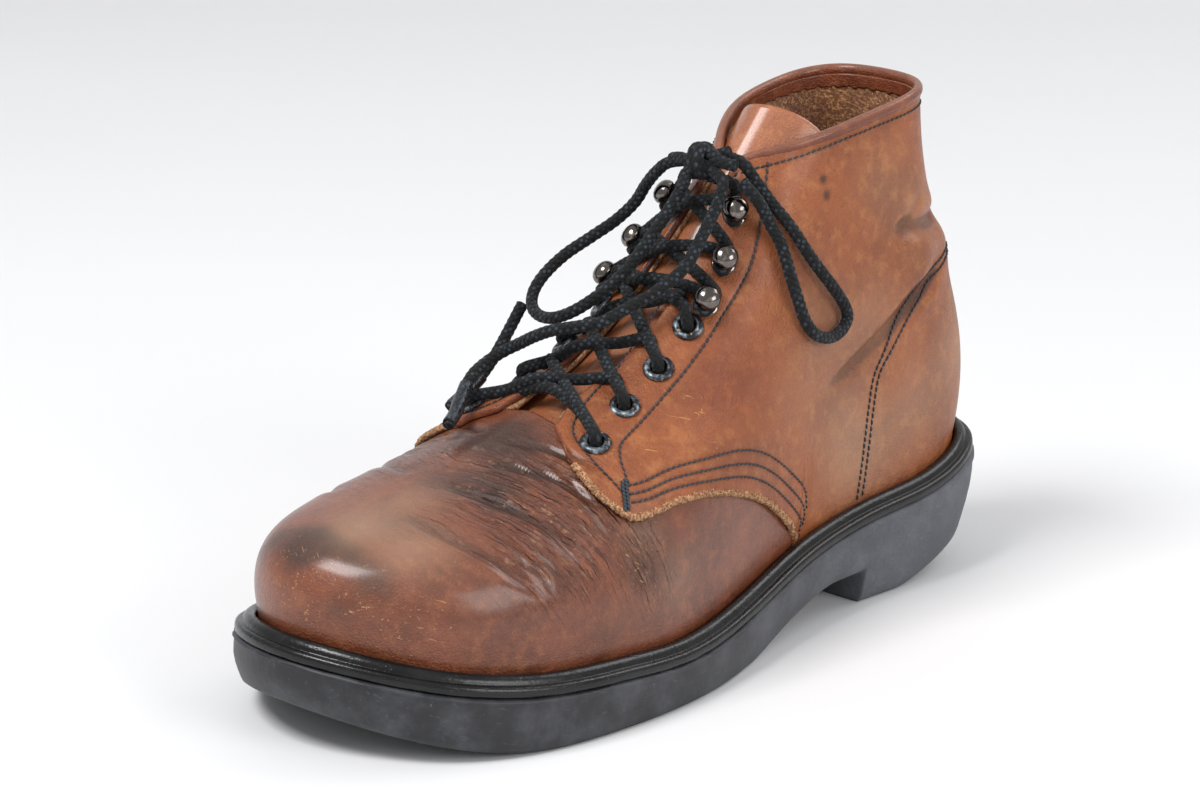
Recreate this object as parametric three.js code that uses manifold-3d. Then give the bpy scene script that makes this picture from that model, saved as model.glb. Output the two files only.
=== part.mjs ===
// A worn leather work boot: a plain-toe derby for the left foot, 6 inches high, on a moulded rubber
// sole with a heel. Millimetres, +Z up, toe towards -Y, heel towards +Y, outer (little-toe) side +X.
// The origin lies on the floor under the middle of the sole's outline.
//
// The last is described by 28 stations round the foot: station 0 is the back of the heel, 1 to 13 run
// forward along the outer side, 14 is the toe and 15 to 27 come back along the inner side. At each
// station a rib climbs from the feather line, where the upper meets the welt, to the top edge.
import * as THREE from "three";
import Module from "manifold-3d";
import { mergeVertices } from "three/addons/utils/BufferGeometryUtils.js";

const wasm = await Module();
wasm.setup();

// ---- driving dimensions -------------------------------------------------------------------------
const STATIONS = 28;
const TOE = 14;
const LEATHER = 2; // wall of vamp, quarters and tongue
const GAP = 0.35; // clearance between neighbouring pieces
const WELT_WIDTH = 7; // feather line to the edge of the sole
const WELT_DEPTH = 5.5; // feather line down to the top of the outsole
const INSOLE_THICK = 2.8;
const TOE_SPRING = 16; // underside of the toe above the floor
const SPRING_START = -84; // where the forefoot leaves the floor
const BREAST = 72; // front face of the heel
const ARCH_SPAN = [2, 58]; // from where the waist leaves the floor to where it is highest
const ARCH_HIGH = 11.3; // underside of the waist at the heel breast
const WEAR_LINE = [30, 98]; // point where the heel's worn back corner starts on the outer side
const WEAR_TOWARDS = [0.5, 0.87]; // from there it rises towards the back
const WEAR_SLOPE = 0.32;
const THROAT = 10.4; // station where the vamp ends on the instep
const FACING_END = 10.25; // station of the facings' front edge
const FACING_GAP = [4.5, 10]; // middle line to the facings' edge, at the collar and at the throat
const LAP_RISE = 1.3; // how far the quarters stand up on the vamp
const LACE = 3.9; // cord diameter
const SHIFT = [-2.2, 0.5, 0]; // from the last's middle line to the middle of the sole's outline

// Feather line in plan, station by station.
const FEATHER = [
  [0, 142.5], [20, 137.5], [30, 121], [32.5, 100], [32.5, 78], [33.5, 56], [37, 34],
  [42.5, 11], [48.5, -13], [53, -38], [54, -64], [51, -92], [40.5, -118], [21.5, -136],
  [-2, -143.5], [-25.5, -135], [-41, -115], [-48, -89], [-49.5, -63], [-46, -38], [-39.5, -13],
  [-33.5, 11], [-29.5, 34], [-28.5, 56], [-29.5, 78], [-31.5, 100], [-29, 121], [-19.5, 137.5],
];
// Height of the feather line above the floor, heel to toe: heel seat, arch, ball and toe spring.
const FEATHER_HEIGHT = [
  48, 46.5, 41.5, 37.3, 35.2, 32.4, 29.2, 25, 21.2, 19.6, 21.2, 22.9, 27, 32, 34.5,
];
// Controls of the top edge: collar on the outer side, middle line of the instep, collar inner side.
const COLLAR_BACK = [2, 118.5, 168];
const COLLAR_OUTER = [
  [20, 116, 167.5], [28.5, 103, 166], [29, 87, 163.5], [28, 70, 160.5], [25, 55, 157], [18, 42, 153.5],
];
const COLLAR_INNER = [
  [-16, 116, 168], [-23.5, 103, 166.5], [-23, 87, 164.5], [-20.5, 70, 162], [-14.5, 56, 159],
  [-6, 43, 154.5],
];
const INSTEP = [[5, 31, 150], [4.5, 10, 122], [3, -10, 103], [0.5, -34, 86.5], [-2, -62, 75]];
const TOE_TOP = [-2, -104, 66.5];
// Shape of each rib, heel to toe: height of its lower handle, how far that handle leans out,
// the slope at which it ends (90 upright, 0 level), its upper handle and the slope of the instep.
const LOW_HANDLE = [0.36, 0.38, 0.42, 0.46, 0.5, 0.52, 0.54, 0.55, 0.56, 0.58, 0.6, 0.68, 0.8, 0.85, 0.85];
const LEAN = [11, 9, 7, 6, 6, 6, 6, 6, 6, 7, 7, 7, 6, 6, 6];
const END_SLOPE = [90, 90, 90, 90, 88, 80, 62, 30, 10, 0, 0, 0, 0, 0, 0];
const TOP_HANDLE = [0.45, 0.44, 0.4, 0.36, 0.33, 0.32, 0.38, 0.5, 0.55, 0.6, 0.62, 0.62, 0.6, 0.6, 0.6];
const INSTEP_SLOPE = [0, 0, 0, 0, 0, 0, 0.5, 1.2, 1.2, 1, 0.7, 0.4, 0.14, 0.14, 0.14];
// Lower edge of the quarters as [station, height on the rib]: up from the welt, over the arc and
// round the front corner of the facing. The vamp runs on under it to its own hidden edge.
const DERBY_EDGE = [
  [5.9, 0], [6.62, 0.1], [7.56, 0.203], [8.34, 0.293], [9, 0.35], [9.48, 0.377], [9.78, 0.41],
  [10.1, 0.537], [FACING_END, 0.68],
];
const VAMP_EDGE = [
  [5.7, 0.1], [6.6, 0.22], [7.5, 0.32], [8.3, 0.41], [9, 0.48], [9.5, 0.56], [10, 0.76], [THROAT, 1],
];
// Fasteners up each facing as [station, height on the rib].
const EYELETS = [[9.9, 0.696], [9.34, 0.74], [8.7, 0.735], [8.07, 0.732]];
const HOOKS = [[7.7, 0.711], [7.26, 0.752], [6.87, 0.855]];

// Bow: the knot over the top of the facings, a loop on each side and the two ends with their tips.
const LACE_SEAT = 5; // middle of the cord over the leather at an eyelet
const KNOT = [8, 21.5, 152];
const KNOT_RADII = [9, 6, 6];
const CROSS_RISE = [5, 3]; // middle of a strand over the line between its ends, low and high
const LOOP_OUTER = [
  [19.5, 28, 151.5], [22, 31.5, 145.5], [26, 35, 138.5], [29.5, 37, 134], [32.2, 38.8, 129.8],
  [34.8, 42, 123.5], [36.8, 45.8, 117.7], [38, 51, 111.5], [38.3, 56, 105.5], [38.4, 58, 101],
  [38.8, 55.5, 97.6], [39.4, 50.5, 96], [39.9, 44.5, 96.7], [40.2, 39, 99.5], [39.4, 35.5, 104.5],
  [38, 34, 110.3], [36.5, 33.5, 114.5], [34.9, 33.2, 118.7], [33, 33, 123.5], [30.8, 32.5, 128.6],
  [28.8, 31.2, 132.5], [27.8, 29.2, 136.8], [26.8, 26, 142], [22.8, 23, 147.5],
];
const LOOP_INNER = [
  [-4, 19.5, 150], [-9, 19, 146.5], [-14, 19.3, 141.3], [-18, 18.5, 135], [-21.8, 13.8, 129.2],
  [-26.2, 7.1, 124], [-30, -1, 118.8], [-31.8, -8.5, 113.2], [-31.5, -13.5, 108.5],
  [-28.5, -17, 104.8], [-22.5, -19.5, 103.4], [-15, -20.5, 104.4], [-7.5, -19, 108],
  [-1.5, -14.4, 113.4], [2, -9.8, 118.4], [3.8, -5.2, 123.2], [4.8, -0.8, 128.2], [5.8, 3.5, 133.2],
  [6.5, 7.8, 138.2], [7.2, 12, 143.5],
];
const END_ONE = [
  [18.5, 19, 147.5], [19.4, 17, 142.5], [19.6, 13.5, 137.6], [20.2, 7.2, 130.6], [20.5, 1.8, 124.6],
  [19.1, -3.8, 120], [16.8, -9.2, 116.4], [14.2, -14, 113.6], [11.4, -19.8, 110.6],
  [8.5, -25, 108], [2.5, -30, 106.4], [-4.5, -32.5, 104.4], [-11.5, -33, 101.3], [-18, -32.8, 97.8],
  [-22.5, -35, 95], [-25, -40, 92], [-24.4, -47.5, 88.8], [-21.2, -54.8, 84.4],
  [-17.8, -61, 80.8], [-14.9, -66.8, 79],
];
const END_TWO = [
  [-36.5, -13.5, 103.5], [-36, -17.5, 99.3], [-35.2, -22, 95], [-34.4, -26.6, 90.8],
  [-33.8, -31, 87.2], [-33.4, -35.5, 84], [-33.3, -40, 81.3], [-33.2, -44.5, 79], [-32.8, -49, 77.2],
];

// ---- small vector helpers -----------------------------------------------------------------------
const add = (a, b, s = 1) => a.map((v, i) => v + b[i] * s);
const sub = (a, b) => a.map((v, i) => v - b[i]);
const mix = (a, b, t) => a.map((v, i) => v + (b[i] - v) * t);
const size = (a) => Math.hypot(...a);
const unit = (a) => a.map((v) => v / Math.max(size(a), 1e-9));
const cross = (a, b) => [a[1] * b[2] - a[2] * b[1], a[2] * b[0] - a[0] * b[2], a[0] * b[1] - a[1] * b[0]];
const clamp = (v, lo = 0, hi = 1) => Math.min(hi, Math.max(lo, v));
const smooth = (v) => clamp(v) ** 2 * (3 - 2 * clamp(v));

// ---- the last -----------------------------------------------------------------------------------
// Closed uniform cubic B-spline through a ring of controls, at station a.
function spline(controls, a) {
  const n = controls.length;
  const whole = Math.floor(a);
  const t = a - whole;
  const weights = [
    (1 - t) ** 3 / 6,
    (3 * t ** 3 - 6 * t ** 2 + 4) / 6,
    (-3 * t ** 3 + 3 * t ** 2 + 3 * t + 1) / 6,
    t ** 3 / 6,
  ];
  const at = (k) => controls[(((whole + k - 1) % n) + n) % n];
  return weights.reduce((sum, w, k) => add(sum, at(k), w), at(0).map(() => 0));
}

// Controls of the B-spline that passes through the given ring of points.
function through(points) {
  const n = points.length;
  let controls = points;
  for (let pass = 0; pass < 40; pass += 1) {
    const miss = points.map((p, i) => sub(p, spline(controls, i)));
    controls = controls.map((c, i) => add(c, miss[i % n]));
  }
  return controls;
}

// A heel-to-toe list used on both sides of the foot.
const bothSides = (list) => [...list, ...list.slice(1, -1).reverse()].map((v) => [v]);

const featherPlan = through(FEATHER);
const featherHeight = through(bothSides(FEATHER_HEIGHT));
const topEdge = [
  COLLAR_BACK, ...COLLAR_OUTER, ...INSTEP, TOE_TOP, TOE_TOP, TOE_TOP, TOE_TOP, TOE_TOP,
  ...[...INSTEP].reverse(), ...[...COLLAR_INNER].reverse(),
];
const lowHandle = bothSides(LOW_HANDLE);
const lean = bothSides(LEAN);
const endSlope = bothSides(END_SLOPE);
const topHandle = bothSides(TOP_HANDLE);
const instepSlope = bothSides(INSTEP_SLOPE);

// Point of the feather line, and the level direction straight out from it.
function feather(a) {
  return [...spline(featherPlan, a), ...spline(featherHeight, a)];
}

function outward(a) {
  const [x, y] = sub(spline(featherPlan, a + 0.01), spline(featherPlan, a - 0.01));
  return unit([-y, x, 0]);
}

// Outer skin of the closed last form: station a, height h from 0 at the feather to 1 at the top.
// Below the feather (h < 0) the leather goes straight down, 1 mm for each hundredth of h.
function form(a, h) {
  const foot = feather(a);
  if (h < 0) return add(foot, [0, 0, 100 * h]);
  const top = spline(topEdge, a);
  const out = outward(a);
  const rise = top[2] - foot[2];
  const reach = [top[0] - foot[0], top[1] - foot[1]];
  const across = size(reach);
  const blend = clamp(across / 25) ** 2;
  const inn = unit(reach.map((v, i) => (blend * v) / Math.max(across, 1e-6) - (1 - blend) * out[i]));
  const slope = THREE.MathUtils.degToRad(spline(endSlope, a)[0]);
  const level = unit([...inn, spline(instepSlope, a)[0] * inn[1]]);
  const end = add(level.map((v) => v * Math.cos(slope)), [0, 0, Math.sin(slope)]);
  const handle = spline(topHandle, a)[0] * (Math.cos(slope) ** 2 * across + Math.sin(slope) ** 2 * rise);
  const low = add(add(foot, out, spline(lean, a)[0]), [0, 0, spline(lowHandle, a)[0] * rise]);
  const high = add(top, end, -handle);
  const w = [(1 - h) ** 3, 3 * h * (1 - h) ** 2, 3 * h ** 2 * (1 - h), h ** 3];
  return [0, 1, 2].map((i) => foot[i] * w[0] + low[i] * w[1] + high[i] * w[2] + top[i] * w[3]);
}

// Outward normal of the form. On the middle line of the instep both sides share one normal.
function normal(a, h) {
  const side = ((a % STATIONS) + STATIONS) % STATIONS;
  if (h > 0.999 && side > 7 && side < STATIONS - 7) return unit([0, -spline(instepSlope, a)[0], 1]);
  const step = 0.004;
  const hh = clamp(h, 0.005, 0.99);
  const along = sub(form(a + step, hh), form(a - step, hh));
  const up = sub(form(a, hh + step), form(a, hh - step));
  return unit(cross(up, along));
}

// Point of the form moved out (or, negative, in) by a depth.
function skin(a, h, depth) {
  const n = h < 0 ? outward(a) : normal(a, h);
  return add(form(a, h), n, depth);
}

// Straight-line look-up in a list of [station, value] pairs.
function lookUp(list, a) {
  if (a <= list[0][0]) return list[0][1];
  for (let i = 1; i < list.length; i += 1) {
    const [a0, v0] = list[i - 1];
    const [a1, v1] = list[i];
    if (a <= a1) return v0 + ((v1 - v0) * (a - a0)) / (a1 - a0);
  }
  return list[list.length - 1][1];
}

// Distance of a station from the heel, the same on both sides.
const fromHeel = (a) => TOE - Math.abs(TOE - (((a % STATIONS) + STATIONS) % STATIONS));

// Middle line of the throat and instep at a station, between the two sides' top edges.
const middleLine = (a) => (spline(topEdge, a)[0] + spline(topEdge, STATIONS - a)[0]) / 2;

// Height on the rib at a level distance from the middle line.
function heightAt(a, distance) {
  const middle = middleLine(a);
  let low = 0.3;
  let high = 1;
  for (let pass = 0; pass < 18; pass += 1) {
    const half = (low + high) / 2;
    if (Math.abs(form(a, half)[0] - middle) > distance) low = half;
    else high = half;
  }
  return high > 0.9999 ? 1 : (low + high) / 2;
}

// Height on the rib of the quarters' upper edge: the collar, then the facing down to the throat.
function facingHeight(a) {
  if (fromHeel(a) < 6) return 1;
  const [narrow, wide] = FACING_GAP;
  return heightAt(a, narrow + (wide - narrow) * smooth((fromHeel(a) - 6.6) / 1.9));
}

// ---- solids -------------------------------------------------------------------------------------
function solidOf(geometry) {
  const bare = geometry.index ? geometry.toNonIndexed() : geometry.clone();
  bare.deleteAttribute("normal");
  bare.deleteAttribute("uv");
  const merged = mergeVertices(bare, 1e-4);
  const triVerts = [];
  for (let i = 0; i < merged.index.count; i += 3) {
    const [p, q, r] = [0, 1, 2].map((k) => merged.index.getX(i + k));
    if (p !== q && q !== r && p !== r) triVerts.push(p, q, r);
  }
  const vertProperties = new Float32Array(merged.attributes.position.array);
  return new wasm.Manifold(new wasm.Mesh({ numProp: 3, vertProperties, triVerts: new Uint32Array(triVerts) }));
}

function geometryOf(solid) {
  const mesh = solid.getMesh();
  const geometry = new THREE.BufferGeometry();
  const positions = new Float32Array((mesh.vertProperties.length / mesh.numProp) * 3);
  for (let i = 0; i < positions.length / 3; i += 1) {
    for (let k = 0; k < 3; k += 1) positions[3 * i + k] = mesh.vertProperties[mesh.numProp * i + k];
  }
  geometry.setAttribute("position", new THREE.BufferAttribute(positions, 3));
  geometry.setIndex(new THREE.BufferAttribute(new Uint32Array(mesh.triVerts), 1));
  return geometry;
}

// The largest connected surface of a solid, which leaves out tiny pockets inside a lap.
function outerBody(solid) {
  return solid.decompose().reduce((best, each) => (each.volume() > best.volume() ? each : best));
}

function soup(triangles) {
  const geometry = new THREE.BufferGeometry();
  geometry.setAttribute("position", new THREE.BufferAttribute(new Float32Array(triangles.flat(2)), 3));
  return geometry;
}

// A sheet of leather: a grid of [outer, inner] point pairs, closed along every open edge. Points that
// coincide on the middle line are the same point, so the two sides of the vamp join there.
function sheet(grid) {
  const keys = new Map();
  const outer = [];
  const inner = [];
  const indexOf = ([out, inn]) => {
    const key = out.map((v) => Math.round(v * 500)).join();
    if (!keys.has(key)) {
      keys.set(key, outer.length);
      outer.push(out);
      inner.push(inn);
    }
    return keys.get(key);
  };
  const ids = grid.map((column) => column.map(indexOf));
  const faces = [];
  const addFace = (p, q, r) => {
    if (p !== q && q !== r && p !== r) faces.push([p, q, r]);
  };
  for (let i = 1; i < ids.length; i += 1) {
    for (let j = 1; j < ids[i].length; j += 1) {
      addFace(ids[i - 1][j - 1], ids[i][j], ids[i][j - 1]);
      addFace(ids[i - 1][j - 1], ids[i - 1][j], ids[i][j]);
    }
  }
  const directed = new Set(faces.flatMap(([p, q, r]) => [`${p}_${q}`, `${q}_${r}`, `${r}_${p}`]));
  const triangles = [];
  for (const [p, q, r] of faces) {
    triangles.push([outer[p], outer[q], outer[r]], [inner[p], inner[r], inner[q]]);
    for (const [s, t] of [[p, q], [q, r], [r, p]]) {
      if (!directed.has(`${t}_${s}`)) {
        triangles.push([outer[s], inner[s], inner[t]], [outer[s], inner[t], outer[t]]);
      }
    }
  }
  return solidOf(soup(triangles));
}

// A ring of columns closed round the foot, each a list of points from the bottom up, capped by level
// strips between the outer and the inner side.
function cappedRing(columns) {
  const triangles = [];
  const n = columns.length;
  const rows = columns[0].length;
  for (let i = 0; i < n; i += 1) {
    const next = columns[(i + 1) % n];
    for (let j = 1; j < rows; j += 1) {
      triangles.push([columns[i][j - 1], next[j], next[j - 1]], [columns[i][j - 1], columns[i][j], next[j]]);
    }
  }
  for (let i = 0; i < n / 2; i += 1) {
    const [p, q, r, s] = [i, i + 1, (n - i - 1) % n, (n - i) % n].map((k) => columns[k]);
    const [lo, hi] = [0, rows - 1];
    triangles.push([p[lo], q[lo], r[lo]], [p[lo], r[lo], s[lo]]);
    triangles.push([p[hi], r[hi], q[hi]], [p[hi], s[hi], r[hi]]);
  }
  const kept = triangles.filter(([p, q, r]) => size(cross(sub(q, p), sub(r, p))) > 1e-6);
  return solidOf(soup(kept));
}

// A section swept round the foot and closed on itself.
function sectionRing(columns) {
  const triangles = [];
  const n = columns.length;
  columns.forEach((column, i) => {
    const next = columns[(i + 1) % n];
    column.forEach((point, j) => {
      const k = (j + 1) % column.length;
      triangles.push([point, next[k], next[j]], [point, column[k], next[k]]);
    });
  });
  return solidOf(soup(triangles));
}

const range = (from, to, count) => Array.from({ length: count + 1 }, (_, i) => from + ((to - from) * i) / count);
const around = range(0, STATIONS, 2 * STATIONS).slice(0, -1);

// ---- upper --------------------------------------------------------------------------------------
const SKIRT = -(WELT_DEPTH - GAP) / 100; // lower edge of the leather, behind the welt

// Vamp: from the outer side round the toe to the inner side, closed over the instep up to the throat.
function vamp() {
  const lower = 5.7;
  const stations = [lower, ...range(6, 10, 8), THROAT, ...range(11, 17, 12)];
  stations.push(STATIONS - THROAT, ...range(18, 22, 8), STATIONS - lower);
  const depth = -0.1;
  return sheet(stations.map((a) => {
    const top = lookUp(VAMP_EDGE, fromHeel(a));
    const heights = [SKIRT, ...range(0, top, 9)];
    return heights.map((h) => [skin(a, h, depth), skin(a, h, depth - LEATHER)]);
  }));
}

// Quarters: one piece round the heel, lapped over the vamp along the derby edge.
function quarterLift(a, h) {
  const near = 1 - smooth((h - lookUp(DERBY_EDGE, fromHeel(a)) - 0.1) / 0.16);
  const front = smooth((fromHeel(a) - 5.4) / 0.5);
  const facingEnd = smooth((fromHeel(a) - 9.2) / 0.6);
  return LAP_RISE * Math.max(near * front, facingEnd) * smooth(h / 0.05);
}

function quarters() {
  const half = [...range(0, 5.5, 11), 5.9, ...range(6.5, 10, 7), FACING_END];
  const stations = [...half.slice(1).reverse().map((a) => -a), ...half];
  return sheet(stations.map((a) => {
    const station = fromHeel(a);
    const bottom = station < 5.9 ? 0 : lookUp(DERBY_EDGE, station);
    const corner = 0.035 * smooth((station - 9.9) / 0.35);
    const top = facingHeight(a) - corner;
    const heights = [station < 5.9 ? SKIRT : bottom - 0.01, ...range(bottom, top, 9)];
    return heights.map((h) => {
      const lift = quarterLift(a, h);
      return [skin(a, h, lift), skin(a, h, lift - LEATHER)];
    });
  }));
}

// Frame of a fastener on a facing: a matrix whose +Z stands straight out of the leather.
function fastenerFrame([station, height], inner) {
  const a = inner ? STATIONS - station : station;
  const n = new THREE.Vector3(...normal(a, height));
  const centre = skin(a, height, quarterLift(a, height));
  const turn = new THREE.Quaternion().setFromUnitVectors(new THREE.Vector3(0, 0, 1), n);
  return new THREE.Matrix4().compose(new THREE.Vector3(...centre), turn, new THREE.Vector3(1, 1, 1));
}

const HOLE_RADIUS = 3.7;
const SEAT = 0.8; // eyelets and hooks stand this far off the curved leather

function eyeletHole(place, inner) {
  const drill = new THREE.CylinderGeometry(HOLE_RADIUS, HOLE_RADIUS, 12, 12);
  drill.rotateX(Math.PI / 2);
  return solidOf(drill.applyMatrix4(fastenerFrame(place, inner)));
}

function upper() {
  let body = vamp().add(quarters());
  for (const place of EYELETS) {
    body = body.subtract(eyeletHole(place, false)).subtract(eyeletHole(place, true));
  }
  return geometryOf(outerBody(body));
}

// ---- tongue -------------------------------------------------------------------------------------
// It starts under the vamp's edge, follows the instep inside the facings and stands above the collar.
const TONGUE_DEPTH = -(2 * LEATHER + 0.6);
const TONGUE_HALF = 21;
const TONGUE_LAST = 8.2; // station where the tongue leaves the form
const TONGUE_TOP = 65; // from there up to the tongue's top
const TONGUE_ROUND = 24; // the last part of that, over which it rounds off
const TONGUE_STEPS = [0.15, 0.3, 0.45, 0.6, 0.75, 0.88, 1];
const TONGUE_BEND = 21; // how far its sides stand back of its middle there
const UP_TONGUE = [0, 0.645, 0.765];

function tongueRow(a, half) {
  const heights = [1, 0.75, 0.5, 0.25].map((reach) => heightAt(a, half * reach));
  heights.push(1);
  const pair = (station, h) => {
    return [skin(station, h, TONGUE_DEPTH), skin(station, h, TONGUE_DEPTH - LEATHER)];
  };
  const outerSide = heights.map((h) => pair(a, h));
  const innerSide = heights.slice(0, -1).reverse().map((h) => pair(STATIONS - a, h));
  return [...outerSide, ...innerSide];
}

// The tongue follows the form up to its last station, then stands up behind the collar's front and
// ends in a round top. Its sides rise to the height of its middle and bend back round the ankle.
function tongue() {
  const rows = range(10.8, TONGUE_LAST, 8).map((a) => tongueRow(a, TONGUE_HALF * (a > 10 ? 0.8 : 1)));
  const last = rows[rows.length - 1];
  const centre = last[4][0];
  for (const step of TONGUE_STEPS) {
    rows.push(last.map((pair) => {
      const across = Math.abs(pair[0][0] - centre[0]) / TONGUE_HALF;
      const round = TONGUE_ROUND * (1 - Math.sqrt(1 - clamp(across) ** 2.6));
      const rise = step * (TONGUE_TOP - round);
      const level = ((centre[2] - pair[0][2]) / UP_TONGUE[2]) * smooth(rise / 35);
      const bend = TONGUE_BEND * across ** 1.3 * smooth(rise / 26);
      return pair.map((p) => add(add(p, UP_TONGUE, rise + level), [0, 1, 0], bend));
    }));
  }
  return geometryOf(sheet(rows.reverse()));
}

// ---- sole ---------------------------------------------------------------------------------------
// Column of points at station a, from [distance out of the feather line, height above it] pairs.
function column(a, section) {
  const out = outward(a);
  const foot = feather(a);
  return section.map(([n, z]) => add(add(foot, out, n), [0, 0, z]));
}

function welt() {
  const section = [
    [GAP, -WELT_DEPTH], [WELT_WIDTH - 0.2, -WELT_DEPTH], [WELT_WIDTH, -3.4], [WELT_WIDTH - 0.5, -1.9],
    [5, -1.4], [3.7, -1.9], [3.1, -0.4], [2.1, 0.3], [1.1, 0],
  ];
  return geometryOf(sectionRing(around.map((a) => column(a, section))));
}

// Underside of the outsole above the floor: flat, then the toe spring.
function underside(y) {
  return TOE_SPRING * clamp((SPRING_START - y) / (150 + SPRING_START)) ** 2.2;
}

// The space under the waist, right across the sole, up to the heel's front face.
function archSpace() {
  const [start, top] = ARCH_SPAN;
  const arch = new THREE.Shape();
  arch.moveTo(start, -5);
  range(start, top, 9).forEach((y) => arch.lineTo(y, ARCH_HIGH * smooth((y - start) / (top - start))));
  arch.lineTo(BREAST - 1, ARCH_HIGH);
  arch.lineTo(BREAST + 1.5, -5);
  const space = new THREE.ExtrudeGeometry(arch, { depth: 160, bevelEnabled: false });
  space.translate(0, 0, -80);
  return space.applyMatrix4(new THREE.Matrix4().makeBasis(
    new THREE.Vector3(0, 1, 0), new THREE.Vector3(0, 0, 1), new THREE.Vector3(1, 0, 0)));
}

// What is worn off under the back of the heel, more on the outer side.
function wornSpace() {
  const [x, y] = WEAR_TOWARDS;
  const face = new THREE.Vector3(-WEAR_SLOPE * x, -WEAR_SLOPE * y, 1).normalize();
  const tilt = new THREE.Quaternion().setFromUnitVectors(new THREE.Vector3(0, 0, 1), face);
  const space = new THREE.BoxGeometry(240, 240, 40);
  space.translate(0, 0, -20);
  space.applyQuaternion(tilt);
  return space.translate(WEAR_LINE[0], WEAR_LINE[1], 0);
}

function outsole() {
  const topDrop = -(WELT_DEPTH + GAP);
  const columns = around.map((a) => {
    const [edge] = column(a, [[WELT_WIDTH, topDrop]]);
    const out = outward(a);
    const toe = smooth((fromHeel(a) - 11) / 2.5);
    const taper = 4 * (1 - smooth((fromHeel(a) - 6) / 2.5));
    const inset = 2.4 + taper + 2 * toe;
    const sideways = [
      [0.05, -inset], [0.2, -0.4 - 0.75 * taper - 1.6 * toe], [0.55, 0.3 - 0.3 * taper], [0.93, 0.2],
      [1, -0.5],
    ];
    const floor = add(edge, out, -inset);
    const bottom = underside(floor[1]);
    return [add([floor[0], floor[1], bottom], out, -1.2),
      ...sideways.map(([t, n]) => {
        const p = add(edge, out, n);
        return [p[0], p[1], bottom + (edge[2] - bottom) * t];
      })];
  });
  const block = cappedRing(columns);
  return geometryOf(block.subtract(solidOf(archSpace())).subtract(solidOf(wornSpace())));
}

function insole() {
  const inset = -(LEATHER + 2 * GAP);
  const columns = around.map((a) => column(a, [
    [inset, -WELT_DEPTH + GAP], [inset, -WELT_DEPTH + GAP + INSOLE_THICK],
  ]));
  return geometryOf(cappedRing(columns));
}

// ---- eyelets, hooks and lace --------------------------------------------------------------------
function eyelet(place, inner) {
  const profile = [
    [2.5, -LEATHER - 0.8], [3.1, -LEATHER - 0.8], [3.1, SEAT], [4.9, SEAT], [4.6, SEAT + 0.6],
    [3.5, SEAT + 1], [2.5, SEAT + 0.5],
  ];
  const points = [...profile, profile[0]].map(([r, z]) => new THREE.Vector2(r, z));
  const ring = new THREE.LatheGeometry(points, 12);
  ring.rotateX(Math.PI / 2);
  return geometryOf(solidOf(ring).transform(fastenerFrame(place, inner).elements));
}

// Speed hook: a round foot, a short neck on the side of the throat and a domed head over it.
function hook(place, inner) {
  const foot = new THREE.CylinderGeometry(3.4, 3.6, 0.8, 10);
  foot.rotateX(Math.PI / 2);
  foot.translate(0, 0, SEAT + 0.4);
  const neck = new THREE.CylinderGeometry(1.3, 1.5, 4.4, 6);
  neck.rotateX(Math.PI / 2);
  neck.translate(inner ? 1.4 : -1.4, 0, SEAT + 2.6);
  const head = new THREE.SphereGeometry(4.2, 10, 6);
  head.scale(1, 1, 0.62);
  head.translate(0, 0, SEAT + 6);
  const body = solidOf(foot).add(solidOf(neck)).add(solidOf(head));
  return geometryOf(body.transform(fastenerFrame(place, inner).elements));
}

// Round cord along a smooth curve through the given points.
function cord(points, steps, diameter = LACE) {
  const ring = new THREE.Shape();
  for (let k = 0; k < 8; k += 1) {
    const angle = (k * Math.PI) / 4;
    const [x, y] = [(diameter / 2) * Math.cos(angle), (diameter / 2) * Math.sin(angle)];
    if (k === 0) ring.moveTo(x, y);
    else ring.lineTo(x, y);
  }
  const path = new THREE.CatmullRomCurve3(points.map((p) => new THREE.Vector3(...p)));
  return new THREE.ExtrudeGeometry(ring, { steps, extrudePath: path, curveSegments: 1 });
}

// The laced part between the facings: a bar over the throat and a cross at every step up.
function crossings() {
  const levels = [...EYELETS, ...HOOKS];
  const anchors = levels.map(([station, height], i) => [false, true].map((inner) => {
    const besideHook = i < EYELETS.length ? 0 : 0.07;
    const frame = fastenerFrame([station, Math.min(height + besideHook, 0.97)], inner);
    return new THREE.Vector3(0, 0, LACE_SEAT).applyMatrix4(frame).toArray();
  }));
  const strand = (from, to, rise) => {
    const middle = add(mix(from, to, 0.5), [0, -0.7, 0.7], rise);
    return solidOf(cord([from, middle, to], 3));
  };
  const [low, high] = CROSS_RISE;
  let body = strand(anchors[0][0], anchors[0][1], low);
  for (let i = 1; i < anchors.length; i += 1) {
    const rise = i < EYELETS.length ? low : high;
    body = body.add(strand(anchors[i - 1][0], anchors[i][1], rise));
    body = body.add(strand(anchors[i - 1][1], anchors[i][0], rise));
  }
  return geometryOf(body.simplify(0.1));
}

function knot() {
  const bow = new THREE.SphereGeometry(1, 12, 8);
  bow.scale(...KNOT_RADII);
  bow.translate(...KNOT);
  return bow;
}

// ---- assembly -----------------------------------------------------------------------------------
const LEATHER_LOOK = { color: 0x9a5f3f, roughness: 0.55, metalness: 0 };
const SOLE_LOOK = { color: 0x2e2f34, roughness: 0.75, metalness: 0 };
const WELT_LOOK = { color: 0x1c1c1f, roughness: 0.35, metalness: 0 };
const INSOLE_LOOK = { color: 0x6b4a33, roughness: 0.85, metalness: 0 };
const EYELET_LOOK = { color: 0x23242a, roughness: 0.35, metalness: 0.6 };
const HOOK_LOOK = { color: 0x3a3a3e, roughness: 0.25, metalness: 0.9 };
const LACE_LOOK = { color: 0x1f2226, roughness: 0.85, metalness: 0 };

const boot = new THREE.Group();

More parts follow.
